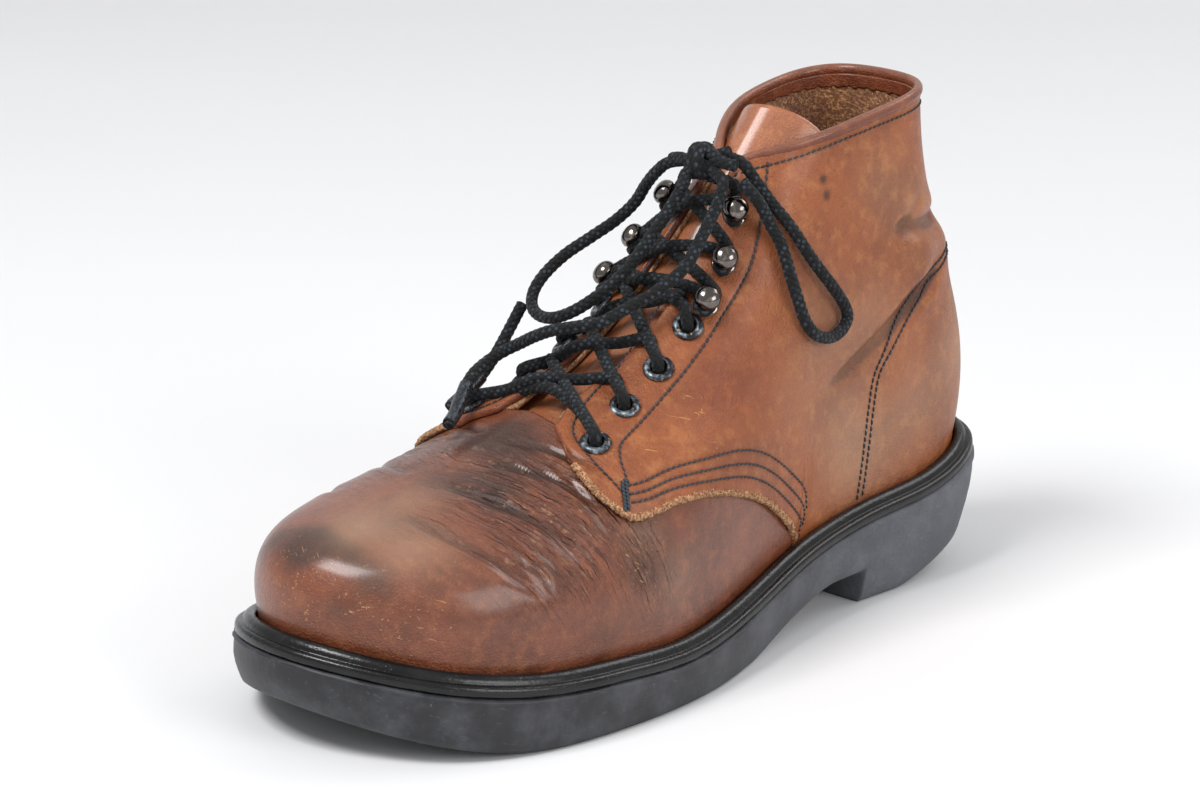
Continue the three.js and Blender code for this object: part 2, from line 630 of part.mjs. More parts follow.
function place(name, geometry, look) {
  const mesh = new THREE.Mesh(geometry, new THREE.MeshStandardMaterial(look));
  mesh.name = name;
  mesh.position.set(...SHIFT);
  boot.add(mesh);
}

place("outsole", outsole(), SOLE_LOOK);
place("welt", welt(), WELT_LOOK);
place("insole", insole(), INSOLE_LOOK);
place("upper", upper(), LEATHER_LOOK);
place("tongue", tongue(), LEATHER_LOOK);
for (const [side, inner] of [["outer", false], ["inner", true]]) {
  EYELETS.forEach((spot, i) => place(`eyelet_${side}_${i + 1}`, eyelet(spot, inner), EYELET_LOOK));
  HOOKS.forEach((spot, i) => place(`hook_${side}_${i + 1}`, hook(spot, inner), HOOK_LOOK));
}

place("lace_crossings", crossings(), LACE_LOOK);
place("lace_knot", knot(), LACE_LOOK);
place("lace_loop_outer", cord(LOOP_OUTER, 18), LACE_LOOK);
place("lace_loop_inner", cord(LOOP_INNER, 18), LACE_LOOK);
place("lace_end_1", cord(END_ONE, 14), LACE_LOOK);
place("lace_end_2", cord(END_TWO, 6), LACE_LOOK);

export default boot;
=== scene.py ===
"""Worn leather work boot for the left foot: the fine visual model built round the packed solids.

Lengths are worked out in millimetres in the last's own frame: toe towards -Y, outer side +X, +Z up.
They are moved by SHIFT and turned into metres when a mesh is made.
"""
import math

import bmesh
import bpy
from bpy.props import FloatProperty, FloatVectorProperty, PointerProperty
import numpy as np
from mathutils import Matrix, Vector


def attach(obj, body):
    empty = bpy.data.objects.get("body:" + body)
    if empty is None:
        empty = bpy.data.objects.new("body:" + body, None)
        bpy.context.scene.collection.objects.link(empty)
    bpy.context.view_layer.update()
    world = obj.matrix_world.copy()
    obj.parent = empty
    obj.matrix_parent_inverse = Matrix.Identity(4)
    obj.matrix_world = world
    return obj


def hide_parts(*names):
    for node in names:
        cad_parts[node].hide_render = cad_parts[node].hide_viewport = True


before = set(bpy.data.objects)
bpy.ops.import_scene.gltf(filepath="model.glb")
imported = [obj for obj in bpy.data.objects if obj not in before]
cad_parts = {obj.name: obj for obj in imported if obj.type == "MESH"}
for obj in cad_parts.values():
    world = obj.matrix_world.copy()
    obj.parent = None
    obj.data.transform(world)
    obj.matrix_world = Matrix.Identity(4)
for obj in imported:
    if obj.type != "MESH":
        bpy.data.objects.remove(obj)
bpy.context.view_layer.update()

bl_info = {
    "name": "Leather work boot",
    "version": (1, 0, 0),
    "blender": (4, 5, 0),
    "location": "3D View > Sidebar > Boot",
    "description": "Builds a worn plain-toe derby work boot piece by piece",
    "category": "Object",
}

# ---- the last -----------------------------------------------------------------------------------
# Station 0 is the middle of the heel, 14 the middle of the toe; the stations between 0 and 14 lie on the
# outer side, those beyond on the inner side. Height runs from 0 at the feather line to 1 at the top edge.
# Lists of 15 values hold for stations 0 to 14 and are the same on both sides.
STATIONS = 28
TOE_STATION = 14
SHIFT = np.array([-2.2, 0.5, 0.0])
FEATHER = [
    (0, 142.5), (20, 137.5), (30, 121), (32.5, 100), (32.5, 78), (33.5, 56), (37, 34),
    (42.5, 11), (48.5, -13), (53, -38), (54, -64), (51, -92), (40.5, -118), (21.5, -136),
    (-2, -143.5), (-25.5, -135), (-41, -115), (-48, -89), (-49.5, -63), (-46, -38), (-39.5, -13),
    (-33.5, 11), (-29.5, 34), (-28.5, 56), (-29.5, 78), (-31.5, 100), (-29, 121), (-19.5, 137.5),
]
FEATHER_HEIGHT = [48, 46.5, 41.5, 37.3, 35.2, 32.4, 29.2, 25, 21.2, 19.6, 21.2, 22.9, 27, 32, 34.5]
COLLAR_BACK = (2, 118.5, 168)
COLLAR_OUTER = [(20, 116, 167.5), (28.5, 103, 166), (29, 87, 163.5), (28, 70, 160.5), (25, 55, 157),
                (18, 42, 153.5)]
COLLAR_INNER = [(-16, 116, 168), (-23.5, 103, 166.5), (-23, 87, 164.5), (-20.5, 70, 162),
                (-14.5, 56, 159), (-6, 43, 154.5)]
INSTEP = [(5, 31, 150), (4.5, 10, 122), (3, -10, 103), (0.5, -34, 86.5), (-2, -62, 75)]
TOE_TOP = (-2, -104, 66.5)
# The rib's curve: length of its lower handle as a share of the height, how far that handle leans out in mm,
# the angle in degrees at which the rib meets the top edge, length of its upper handle as a share of the
# reach, and how steeply the instep falls to the sides.
LOW_HANDLE = [0.36, 0.38, 0.42, 0.46, 0.5, 0.52, 0.54, 0.55, 0.56, 0.58, 0.6, 0.68, 0.8, 0.85, 0.85]
LEAN = [11, 9, 7, 6, 6, 6, 6, 6, 6, 7, 7, 7, 6, 6, 6]
END_SLOPE = [90, 90, 90, 90, 88, 80, 62, 30, 10, 0, 0, 0, 0, 0, 0]
TOP_HANDLE = [0.45, 0.44, 0.4, 0.36, 0.33, 0.32, 0.38, 0.5, 0.55, 0.6, 0.62, 0.62, 0.6, 0.6, 0.6]
INSTEP_SLOPE = [0, 0, 0, 0, 0, 0, 0.5, 1.2, 1.2, 1, 0.7, 0.4, 0.14, 0.14, 0.14]
# Lines and places as (station, height)
DERBY_EDGE = [(5.75, 0), (5.94, 0.023), (6.62, 0.103), (7.56, 0.203), (8.34, 0.293), (9, 0.353),
              (9.48, 0.377), (9.78, 0.41), (10.1, 0.537), (10.25, 0.68)]
VAMP_EDGE = [(5.7, 0.1), (6.6, 0.22), (7.5, 0.32), (8.3, 0.41), (9, 0.48), (9.5, 0.56), (10, 0.76),
             (10.4, 1)]
EYELETS = [(9.9, 0.696), (9.34, 0.74), (8.7, 0.735), (8.07, 0.732)]
HOOKS = [(7.7, 0.711), (7.26, 0.752), (6.87, 0.855)]
# Thickness of the vamp, size of the welt, and the gap between neighbours, mm
LEATHER = 2.0
WELT_WIDTH = 7.0
WELT_DEPTH = 5.5
GAP = 0.35
UP = np.array([0.0, 0.0, 1.0])


def unit(v):
    """The same direction with a length of one."""
    return v / np.maximum(np.linalg.norm(v, axis=-1, keepdims=True), 1e-9)


def smooth(v):
    """0 below 0, 1 above 1, and 3v^2 - 2v^3 between."""
    v = np.clip(v, 0, 1)
    return v * v * (3 - 2 * v)


def spline(controls, a):
    """Closed uniform cubic B-spline through a ring of controls, read at station a."""
    c = np.asarray(controls, float)
    n = len(c)
    a = np.asarray(a, float) % n
    i = np.floor(a).astype(int)
    t = a - i
    weights = [(1 - t) ** 3 / 6, (3 * t ** 3 - 6 * t ** 2 + 4) / 6,
               (-3 * t ** 3 + 3 * t ** 2 + 3 * t + 1) / 6, t ** 3 / 6]
    out = 0
    for k, w in enumerate(weights):
        v = c[(i + k - 1) % n]
        out = out + (w[..., None] * v if c.ndim > 1 else w * v)
    return out


def through(points):
    """Controls of the B-spline that passes through the ring of points."""
    p = np.asarray(points, float)
    c = p.copy()
    for _ in range(40):
        c = c + p - (np.roll(c, 1, 0) + 4 * c + np.roll(c, -1, 0)) / 6
    return c


def both_sides(values):
    """A list from heel to toe carried back to the heel on the other side."""
    return np.array(list(values) + list(values[-2:0:-1]), float)


PLAN = through(FEATHER)
PLAN_HEIGHT = through(both_sides(FEATHER_HEIGHT))
TOP_EDGE = np.array([COLLAR_BACK, *COLLAR_OUTER, *INSTEP, *[TOE_TOP] * 5, *INSTEP[::-1], *COLLAR_INNER[::-1]],
                    float)


def from_heel(a):
    """Stations from the middle of the heel, the same on both sides of the foot."""
    return TOE_STATION - np.abs(TOE_STATION - np.asarray(a, float) % STATIONS)


def outward(a):
    """Level direction out of the plan curve, at right angles to it."""
    tangent = spline(PLAN, np.asarray(a) + 1e-2) - spline(PLAN, np.asarray(a) - 1e-2)
    return unit(np.stack([-tangent[..., 1], tangent[..., 0], 0 * tangent[..., 0]], -1))


def feather(a):
    """Point of the feather line, where the upper meets the sole."""
    return np.concatenate([spline(PLAN, a), spline(PLAN_HEIGHT, a)[..., None]], -1)


def form(a, h):
    """Point of the last: a cubic rib from the feather line (h = 0) to the top edge (h = 1) at station a.

    Below the feather line the leather hangs straight down, 1 mm for each hundredth of h."""
    a, h = np.broadcast_arrays(np.asarray(a, float), np.asarray(h, float))
    foot, top, out = feather(a), spline(TOP_EDGE, a), outward(a)
    reach = top - foot
    rise, across = reach[..., 2], np.linalg.norm(reach[..., :2], axis=-1, keepdims=True)
    blend = np.clip(across / 25, 0, 1) ** 2
    inn = unit(blend * reach[..., :2] / np.maximum(across, 1e-6) - (1 - blend) * out[..., :2])
    level = unit(np.concatenate([inn, (spline(both_sides(INSTEP_SLOPE), a) * inn[..., 1])[..., None]], -1))
    slope = np.radians(spline(both_sides(END_SLOPE), a))
    c, s = np.cos(slope), np.sin(slope)
    end = level * c[..., None] + UP * s[..., None]
    handle = spline(both_sides(TOP_HANDLE), a) * (c ** 2 * across[..., 0] + s ** 2 * rise)
    lean, lift = spline(both_sides(LEAN), a), spline(both_sides(LOW_HANDLE), a) * rise
    low = foot + out * lean[..., None] + UP * lift[..., None]
    high = top - end * handle[..., None]
    t = np.clip(h, 0, 1)[..., None]
    point = foot * (1 - t) ** 3 + 3 * low * t * (1 - t) ** 2 + 3 * high * t ** 2 * (1 - t) + top * t ** 3
    return point + UP * (100 * np.minimum(h, 0))[..., None]


def normal(a, h):
    """Outward normal of the last, from the two directions in which the surface runs."""
    a, h = np.broadcast_arrays(np.asarray(a, float), np.asarray(h, float))
    hh = np.clip(h, 0.005, 0.985)
    n = unit(np.cross(form(a, hh + 0.004) - form(a, hh - 0.004), form(a + 0.004, hh) - form(a - 0.004, hh)))
    slope = spline(both_sides(INSTEP_SLOPE), a)
    ridge = unit(np.stack([0 * slope, -slope, 1 + 0 * slope], -1))
    side = from_heel(a)
    on_ridge = (smooth((h - 0.9) / 0.1) * smooth((side - 7) / 0.5))[..., None]
    return unit(n * (1 - on_ridge) + ridge * on_ridge)


def middle_line(a):
    """Distance across of the last's middle line: half-way between the top edges of both sides."""
    return (spline(TOP_EDGE, a)[..., 0] + spline(TOP_EDGE, STATIONS - np.asarray(a))[..., 0]) / 2


def height_at(a, distance):
    """Height on the rib at a level distance from the middle line, by halving the interval."""
    a = np.asarray(a, float)
    middle = middle_line(a)
    low, high = np.full(a.shape, 0.3), np.ones(a.shape)
    for _ in range(18):
        half = (low + high) / 2
        beyond = np.abs(form(a, half)[..., 0] - middle) > distance
        low, high = np.where(beyond, half, low), np.where(beyond, high, half)
    return np.where(high > 0.9999, 1.0, (low + high) / 2)


def travelled(path):
    """Length along a chain of points, up to each one."""
    return np.concatenate([[0], np.cumsum(np.linalg.norm(np.diff(path, axis=0), axis=1))])


def read_at(at, lengths, values):
    """Each column of values read off at the lengths given by at."""
    return np.stack([np.interp(at, lengths, column) for column in values.T], -1)


def rounded(pairs, steps=12):
    """The same list with its corners rounded: a Catmull-Rom curve through the points."""
    p = np.array(pairs, float)
    p = np.vstack([2 * p[0] - p[1], p, 2 * p[-1] - p[-2]])
    t = np.linspace(0, 1, steps, endpoint=False)[:, None]
    parts = []
    for i in range(1, len(p) - 2):
        p0, p1, p2, p3 = p[i - 1:i + 3]
        parts.append(0.5 * (2 * p1 + (p2 - p0) * t + (2 * p0 - 5 * p1 + 4 * p2 - p3) * t ** 2
                            + (3 * p1 - p0 - 3 * p2 + p3) * t ** 3))
    return np.vstack(parts + [p[-2:-1]])


DERBY_CURVE = rounded(DERBY_EDGE)
VAMP_CURVE = rounded(VAMP_EDGE)


def facing_height(a):
    """Top of the quarters: the collar, then the facing's edge, 4.5 mm from the middle line at the collar
    and 10 mm at the throat."""
    side = from_heel(a)
    gap = 4.5 + 5.5 * smooth((side - 6.6) / 1.9)
    return np.where(side < 6, 1.0, height_at(a, gap))


# ---- stitch rows as (station, height) ---------------------------------------------------------------
ROW_BEHIND_EYELETS = [(6.06, 0.975), (6.4, 0.82), (6.9, 0.673), (7.64, 0.63), (8.84, 0.65), (9.5, 0.643),
                      (9.66, 0.6), (9.68, 0.5)]
ROW_FACING = [(6.64, 0.97), (7.2, 0.93), (8.0, 0.905), (8.96, 0.885), (9.58, 0.865), (9.98, 0.83),
              (10.1, 0.77), (10.02, 0.65), (9.86, 0.53), (9.74, 0.455)]
ROW_ARC = [(9.72, 0.445), (9.45, 0.42), (9.0, 0.392), (8.34, 0.325), (7.5, 0.235), (6.6, 0.135), (5.9, 0.05),
           (5.68, 0.0)]
ARC_STEPS = (-0.004, 0.024, 0.054)
ROW_COUNTER = [(0, 0.56), (1.1, 0.54), (2.1, 0.493), (2.64, 0.44), (3.16, 0.377), (3.62, 0.307),
               (3.86, 0.257), (3.98, 0.18), (4.04, 0.103), (4.1, 0.0)]
ROW_COUNTER_BEHIND = [(0, 0.578), (1.1, 0.558), (2.2, 0.511), (2.75, 0.455), (3.28, 0.388), (3.74, 0.316),
                      (3.98, 0.262), (4.1, 0.184), (4.16, 0.105), (4.22, 0.0)]
TACK = [(9.76, 0.52), (9.8, 0.47), (9.84, 0.425)]


def other_side(row):
    """The same line on the inner side."""
    return [(STATIONS - a, h) for a, h in row]


def stitch_rows():
    """Every row of stitches: both sides' rows and the one along the collar."""
    rows = [ROW_BEHIND_EYELETS, ROW_FACING, ROW_COUNTER, ROW_COUNTER_BEHIND]
    rows += [[(a, h + step) for a, h in ROW_ARC] for step in ARC_STEPS]
    rows += [other_side(row) for row in rows]
    around = np.linspace(-6.55, 6.55, 60)
    rows.append([(s, float(facing_height(np.array(s % STATIONS))) - 0.036) for s in around])
    return rows


# ---- creases, given as (width mm, depth mm, [(station, height), ...]) ------------------------------
CREASES = [
    (2.1, 1.5, [(11.62, 0.93), (11.5, 0.86), (11.26, 0.73), (11.02, 0.613), (10.8, 0.513), (10.56, 0.38),
                (10.4, 0.277)]),
    (2.0, 1.2, [(12.26, 0.827), (11.98, 0.683), (11.7, 0.533), (11.5, 0.447), (11.3, 0.353), (11.08, 0.287),
                (10.88, 0.22)]),
    (1.6, 1.1, [(11.05, 0.93), (11.0, 0.87), (10.6, 0.723), (10.34, 0.61), (10.06, 0.457)]),
    (1.5, 1.0, [(10.96, 1.0), (10.58, 0.877), (10.2, 0.71), (9.98, 0.573)]),
    (2.8, 2.6, [(1.6, 0.55), (2.14, 0.503), (2.68, 0.46), (3.16, 0.413), (3.66, 0.367), (4.04, 0.34),
                (4.46, 0.313), (4.88, 0.293), (5.4, 0.293)]),
    (3.0, 2.6, [(0.9, 0.66), (1.6, 0.66), (2.2, 0.66), (2.58, 0.663), (2.94, 0.66), (3.2, 0.662)]),
    (2.4, 0.8, [(2.16, 0.76), (2.4, 0.717), (2.92, 0.67)]),
    (2.0, 0.7, [(16.45, 0.93), (16.5, 0.86), (16.75, 0.73), (17.0, 0.61), (17.25, 0.5), (17.5, 0.36)]),
    (2.0, 0.7, [(16.1, 0.7), (16.4, 0.54), (16.7, 0.4), (16.95, 0.27)]),
    (1.6, 0.7, [(17.25, 0.93), (17.45, 0.85), (17.8, 0.7), (18.0, 0.57)]),
    (2.6, 2.0, [(26.4, 0.54), (25.8, 0.49), (25.2, 0.43), (24.5, 0.36), (23.8, 0.31), (23.0, 0.29)]),
    (3.0, 2.0, [(27.5, 0.66), (26.7, 0.665), (25.8, 0.66), (25.1, 0.65)]),
]
# Fans of fine wrinkles between two lines: count, width, depth, first line, last line.
FANS = [
    (9, 1.0, 0.5, [(11.45, 0.93), (11.2, 0.77), (10.95, 0.63), (10.7, 0.5), (10.45, 0.37), (10.3, 0.27)],
     [(10.75, 0.93), (10.55, 0.84), (10.35, 0.7), (10.25, 0.6), (10.1, 0.48), (9.9, 0.36)]),
    (6, 1.0, 0.5, [(12.0, 0.72), (11.68, 0.55), (11.45, 0.43), (11.2, 0.33), (11.0, 0.25)],
     [(11.5, 0.80), (11.3, 0.64), (11.08, 0.5), (10.85, 0.38), (10.65, 0.27)]),
    (5, 1.0, 0.4, [(10.1, 0.42), (10.0, 0.33), (9.86, 0.24), (9.75, 0.16)],
     [(9.7, 0.38), (9.5, 0.3), (9.35, 0.2), (9.2, 0.1)]),
    (7, 1.0, 0.35, [(16.6, 0.9), (16.8, 0.77), (17.05, 0.6), (17.35, 0.45), (17.6, 0.3)],
     [(17.2, 0.9), (17.4, 0.84), (17.6, 0.68), (17.8, 0.52), (17.95, 0.4)]),
    (8, 0.9, 0.3, [(2.3, 0.49), (3.14, 0.4), (3.94, 0.32), (4.88, 0.28), (5.9, 0.28)],
     [(2.6, 0.54), (3.4, 0.47), (4.3, 0.41), (5.4, 0.38), (6.6, 0.39)]),
    (6, 0.8, 0.4, [(2.2, 0.71), (2.6, 0.705), (3.1, 0.7)], [(2.2, 0.63), (2.7, 0.62), (3.3, 0.62)]),
]
# Broad soft swells: (centre (station, height), radius mm, rise mm)
SWELLS = [
    ((2.5, 0.575), 14, 2.6), ((1.0, 0.575), 14, 2.2), ((27.0, 0.575), 14, 2.0), ((25.6, 0.57), 12, 1.6),
    ((4.6, 0.43), 20, 1.6), ((6.2, 0.42), 18, 1.0), ((2.3, 0.76), 12, 0.8), ((3.3, 0.26), 12, 1.0),
    ((12.6, 0.8), 20, -0.8), ((11.9, 0.62), 16, -0.6), ((14.0, 0.5), 22, 0.8), ((11.0, 0.3), 16, 0.7),
]


def distance_to(points, line):
    """Least distance of each point from a chain of straight pieces, and how far along it that is (0 to 1)."""
    lengths = np.linalg.norm(np.diff(line, axis=0), axis=1)
    starts = np.concatenate([[0], np.cumsum(lengths)])
    best = np.full(len(points), 1e9)
    where = np.zeros(len(points))
    for i, (p, q) in enumerate(zip(line[:-1], line[1:])):
        along = q - p
        t = np.clip((points - p) @ along / max(along @ along, 1e-9), 0, 1)
        d = np.linalg.norm(points - p - t[:, None] * along, axis=1)
        nearer = d < best
        best = np.where(nearer, d, best)
        where = np.where(nearer, starts[i] + t * lengths[i], where)
    return best, where / starts[-1]


def on_form(pairs):
    """Points of the last along a rounded line of (station, height)."""
    a, h = rounded(pairs, 4).T
    return form(a, h)


def crease_lines():
    """Creases and the wrinkles of the fans as (width, depth, points); each wrinkle wanders at random."""
    lines = [(w, d, on_form(pairs)) for w, d, pairs in CREASES]
    rng = np.random.default_rng(7)
    for count, width, depth, first, last in FANS:
        p, q = on_form(first), on_form(last)
        m = 16
        p, q = (read_at(np.linspace(0, 1, m), np.linspace(0, 1, len(line)), line) for line in (p, q))
        for i in range(count):
            t = (i + 0.5) / count + 0.25 * rng.uniform(-1, 1) / count
            lo, hi = sorted(rng.integers(0, m, 2))
            if hi - lo < 6:
                lo, hi = max(0, lo - 4), min(m - 1, hi + 4)
            wave = rng.normal(0, 0.35, (m, 3))
            line = p + (q - p) * t + np.cumsum(wave, 0) * 0.35
            lines.append((width * rng.uniform(0.8, 1.25), depth * rng.uniform(0.6, 1.3), line[lo:hi + 1]))
    return lines


CREASE_LINES = crease_lines()
SEWN_LINES = [on_form(row) for row in stitch_rows()]
SEWN_WIDTH, SEWN_DEPTH = 0.9, 0.35
RIDGE_SHARE, RIDGE_PLACE, RIDGE_WIDTH = 0.16, 2.1, 1.3


def sewn(points):
    """How near each point is to a row of stitches: 1 on the row, exp(-(d/w)^2) beside it."""
    p = points.reshape(-1, 3)
    near = np.zeros(len(p))
    for line in SEWN_LINES:
        box = np.all((p > line.min(0) - 3) & (p < line.max(0) + 3), axis=1)
        if box.any():
            d, _ = distance_to(p[box], line)
            near[box] = np.maximum(near[box], np.exp(-(d / SEWN_WIDTH) ** 2))
    return near.reshape(points.shape[:-1])


def creases(points):
    """Rise of the leather over the last, mm: troughs along the crease lines with a soft ridge on each
    side, exp(-(d/w)^2) shaped, and round swells."""
    shape = points.shape[:-1]
    p = points.reshape(-1, 3)
    rise = np.zeros(len(p))
    for width, depth, line in CREASE_LINES:
        reach = 4 * width
        near = np.all((p > line.min(0) - reach) & (p < line.max(0) + reach), axis=1)
        if not near.any():
            continue
        d, s = distance_to(p[near], line)
        fade = smooth(s / 0.2) * smooth((1 - s) / 0.25)
        ridge = RIDGE_SHARE * np.exp(-((d - RIDGE_PLACE * width) / (RIDGE_WIDTH * width)) ** 2)
        rise[near] += depth * fade * (ridge - np.exp(-(d / width) ** 2))
    for (a, h), radius, height in SWELLS:
        centre = form(a, h)
        rise += height * np.exp(-np.sum((p - centre) ** 2, axis=1) / (0.6 * radius) ** 2)
    return rise.reshape(shape)


def leather(a, h, lift):
    """Outer skin of a leather piece: the last, its creases, and a lift along the normal. The creases fade
    out at the feather line. Returns the points and the creases' rise."""
    base = form(a, h)
    rise = creases(base) * smooth(np.asarray(h) / 0.12)
    return base + normal(a, h) * (lift + rise)[..., None], rise


# ---- meshes -------------------------------------------------------------------------------------
def collection():
    """The collection that holds every piece, made once."""
    name = "Boot"
    found = bpy.data.collections.get(name)
    if not found:
        found = bpy.data.collections.new(name)
        bpy.context.scene.collection.children.link(found)
    return found


def add_piece(name, mesh):
    """The mesh as a smooth object in the collection."""
    mesh.shade_smooth()
    piece = bpy.data.objects.new(name, mesh)
    collection().objects.link(piece)
    return piece


def make_mesh(name, points, faces, materials, uv=None, marks=None, merge=0.0, flex=None):
    """A mesh object from points in mm of the last's frame. Points nearer than merge mm become one."""
    mesh = bpy.data.meshes.new(name)
    co = ((points + SHIFT) * 0.001).astype(np.float32)
    faces = np.asarray(faces, np.int32)
    mesh.vertices.add(len(co))
    mesh.vertices.foreach_set("co", co.ravel())
    mesh.loops.add(faces.size)
    mesh.polygons.add(len(faces))
    mesh.loops.foreach_set("vertex_index", faces.ravel())
    mesh.polygons.foreach_set("loop_start", np.arange(0, faces.size, faces.shape[1], dtype=np.int32))
    mesh.update(calc_edges=True)
    if uv is not None:
        layer = mesh.uv_layers.new(name="surface")
        layer.data.foreach_set("uv", uv[faces.ravel()].astype(np.float32).ravel())
    if marks is not None:
        layer = mesh.attributes.new("marks", "FLOAT_COLOR", "POINT")
        layer.data.foreach_set("color", marks.astype(np.float32).ravel())
    if flex is not None:
        layer = mesh.attributes.new("flex", "FLOAT", "POINT")
        layer.data.foreach_set("value", flex.astype(np.float32).ravel())
    for material in materials:
        mesh.materials.append(material)
    mesh.validate()
    if merge:
        work = bmesh.new()
        work.from_mesh(mesh)
        bmesh.ops.remove_doubles(work, verts=work.verts, dist=merge * 0.001)
        loose = [v for v in work.verts if not v.link_faces]
        bmesh.ops.delete(work, geom=loose, context="VERTS")
        work.to_mesh(mesh)
        work.free()
    return add_piece(name, mesh)


def grid_faces(rows, columns, close_rows=False, close_columns=False):
    """Four-sided faces of a grid whose points are listed row by row."""
    i = np.arange(rows if close_rows else rows - 1)
    j = np.arange(columns if close_columns else columns - 1)
    i, j = np.meshgrid(i, j, indexing="ij")
    i1, j1 = (i + 1) % rows, (j + 1) % columns
    corners = [i * columns + j, i1 * columns + j, i1 * columns + j1, i * columns + j1]
    return np.stack(corners, -1).reshape(-1, 4)


def grid_piece(name, grid, materials, close_rows=False, close_columns=False, uv=None, marks=None, merge=0.0,
               keep=None, flip=False, flex=None):
    """A piece from a grid of points; keep says which faces stay, from their centres."""
    rows, columns = grid.shape[:2]
    faces = grid_faces(rows, columns, close_rows, close_columns)
    if flip:
        faces = faces[:, ::-1]
    if keep is not None:
        centres = grid.reshape(-1, 3)[faces].mean(1)
        faces = faces[keep(centres)]
    return make_mesh(name, grid.reshape(-1, 3), faces, materials,
                     None if uv is None else uv.reshape(-1, 2),
                     None if marks is None else marks.reshape(-1, 4), merge,
                     None if flex is None else flex.ravel())


def outward_faces(piece, fill=False):
    """Turns every face outward, after closing small open ends if asked."""
    work = bmesh.new()
    work.from_mesh(piece.data)
    if fill:
        bmesh.ops.holes_fill(work, edges=[e for e in work.edges if e.is_boundary], sides=40)
    bmesh.ops.recalc_face_normals(work, faces=work.faces)
    work.to_mesh(piece.data)
    work.free()
    piece.data.shade_smooth()
    return piece


def unmarked(grid):
    """Marks of a grid that has none."""
    return np.zeros(grid.shape[:2] + (4,))


def joined(parts):
    """Points and faces of several (grid, faces) parts in one list each."""
    points, faces, start = [], [], 0
    for grid, quads in parts:
        points.append(grid.reshape(-1, 3))
        faces.append(quads + start)
        start += len(points[-1])
    return np.concatenate(points), np.concatenate(faces)


def thicken(piece, thickness, inner=0, rim=0):
    """A wall inward from the piece, with its own materials inside and on the cut edge."""
    wall = piece.modifiers.new("wall", "SOLIDIFY")
    wall.thickness = thickness * 0.001
    wall.offset = -1
    wall.material_offset = inner
    wall.material_offset_rim = rim
    return piece


def finish(piece, slot, *nodes):
    """Puts the piece on the boot's body, in a slot, in place of the given solids."""
    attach(piece, "root")
    if nodes:
        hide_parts(*nodes)
    return piece


def sheet(name, grid, looks, thickness, nodes=(), slot="upper_leather", **options):
    """A leather with its wall: the looks are those of its face, its flesh side and its cut edge."""
    piece = grid_piece(name, grid, [look(kind) for kind in looks], **options)
    thicken(piece, thickness, 1, 2)
    return finish(piece, slot, *nodes)


def evenly(points, step):
    """Points every step mm along the smooth curve through the given ones."""
    dense = rounded(points, 24)
    s = travelled(dense)
    return read_at(np.linspace(0, s[-1], max(4, int(round(s[-1] / step))) + 1), s, dense)


def cross_directions(path):
    """Two directions across the path at each point, turned as little as possible along it."""
    tangent = unit(np.gradient(path, axis=0))
    side = np.zeros_like(path)
    start = np.cross(tangent[0], UP if abs(tangent[0][2]) < 0.9 else np.array([1.0, 0, 0]))
    side[0] = unit(start)
    for i in range(1, len(path)):
        s = side[i - 1] - tangent[i] * (side[i - 1] @ tangent[i])
        side[i] = s / np.linalg.norm(s)
    return side, np.cross(tangent, side)


def circles(side, up, angle):
    """Unit circle across the path at each of its points."""
    return side[:, None, :] * np.cos(angle)[None, :, None] + up[:, None, :] * np.sin(angle)[None, :, None]


BRAID_TURNS = 5
BRAID_PITCH = 2.3
BRAID_SWELL = 1.6


def braid_tube(points, radius, sides=16):
    """Round braid along a path: a circle carried along it, swollen in a diamond weave where two sets of
    helices cross, height |sin(pi (n u + s/p))| |sin(pi (n u - s/p))|. Returns path, grid and its UV."""
    sizes = bpy.context.scene.boot_cord
    depth = sizes.weave_depth
    path = evenly(points, sizes.ring_step)
    u = np.arange(sides) / sides
    n = BRAID_TURNS * u[None, :]
    v = travelled(path)[:, None] / BRAID_PITCH
    weave = np.abs(np.sin(np.pi * (n + v))) * np.abs(np.sin(np.pi * (n - v)))
    r = radius - depth + depth * BRAID_SWELL * weave
    grid = path[:, None, :] + circles(*cross_directions(path), 2 * np.pi * u) * r[..., None]
    return path, grid, np.stack(np.broadcast_arrays(u[None, :], v), -1)


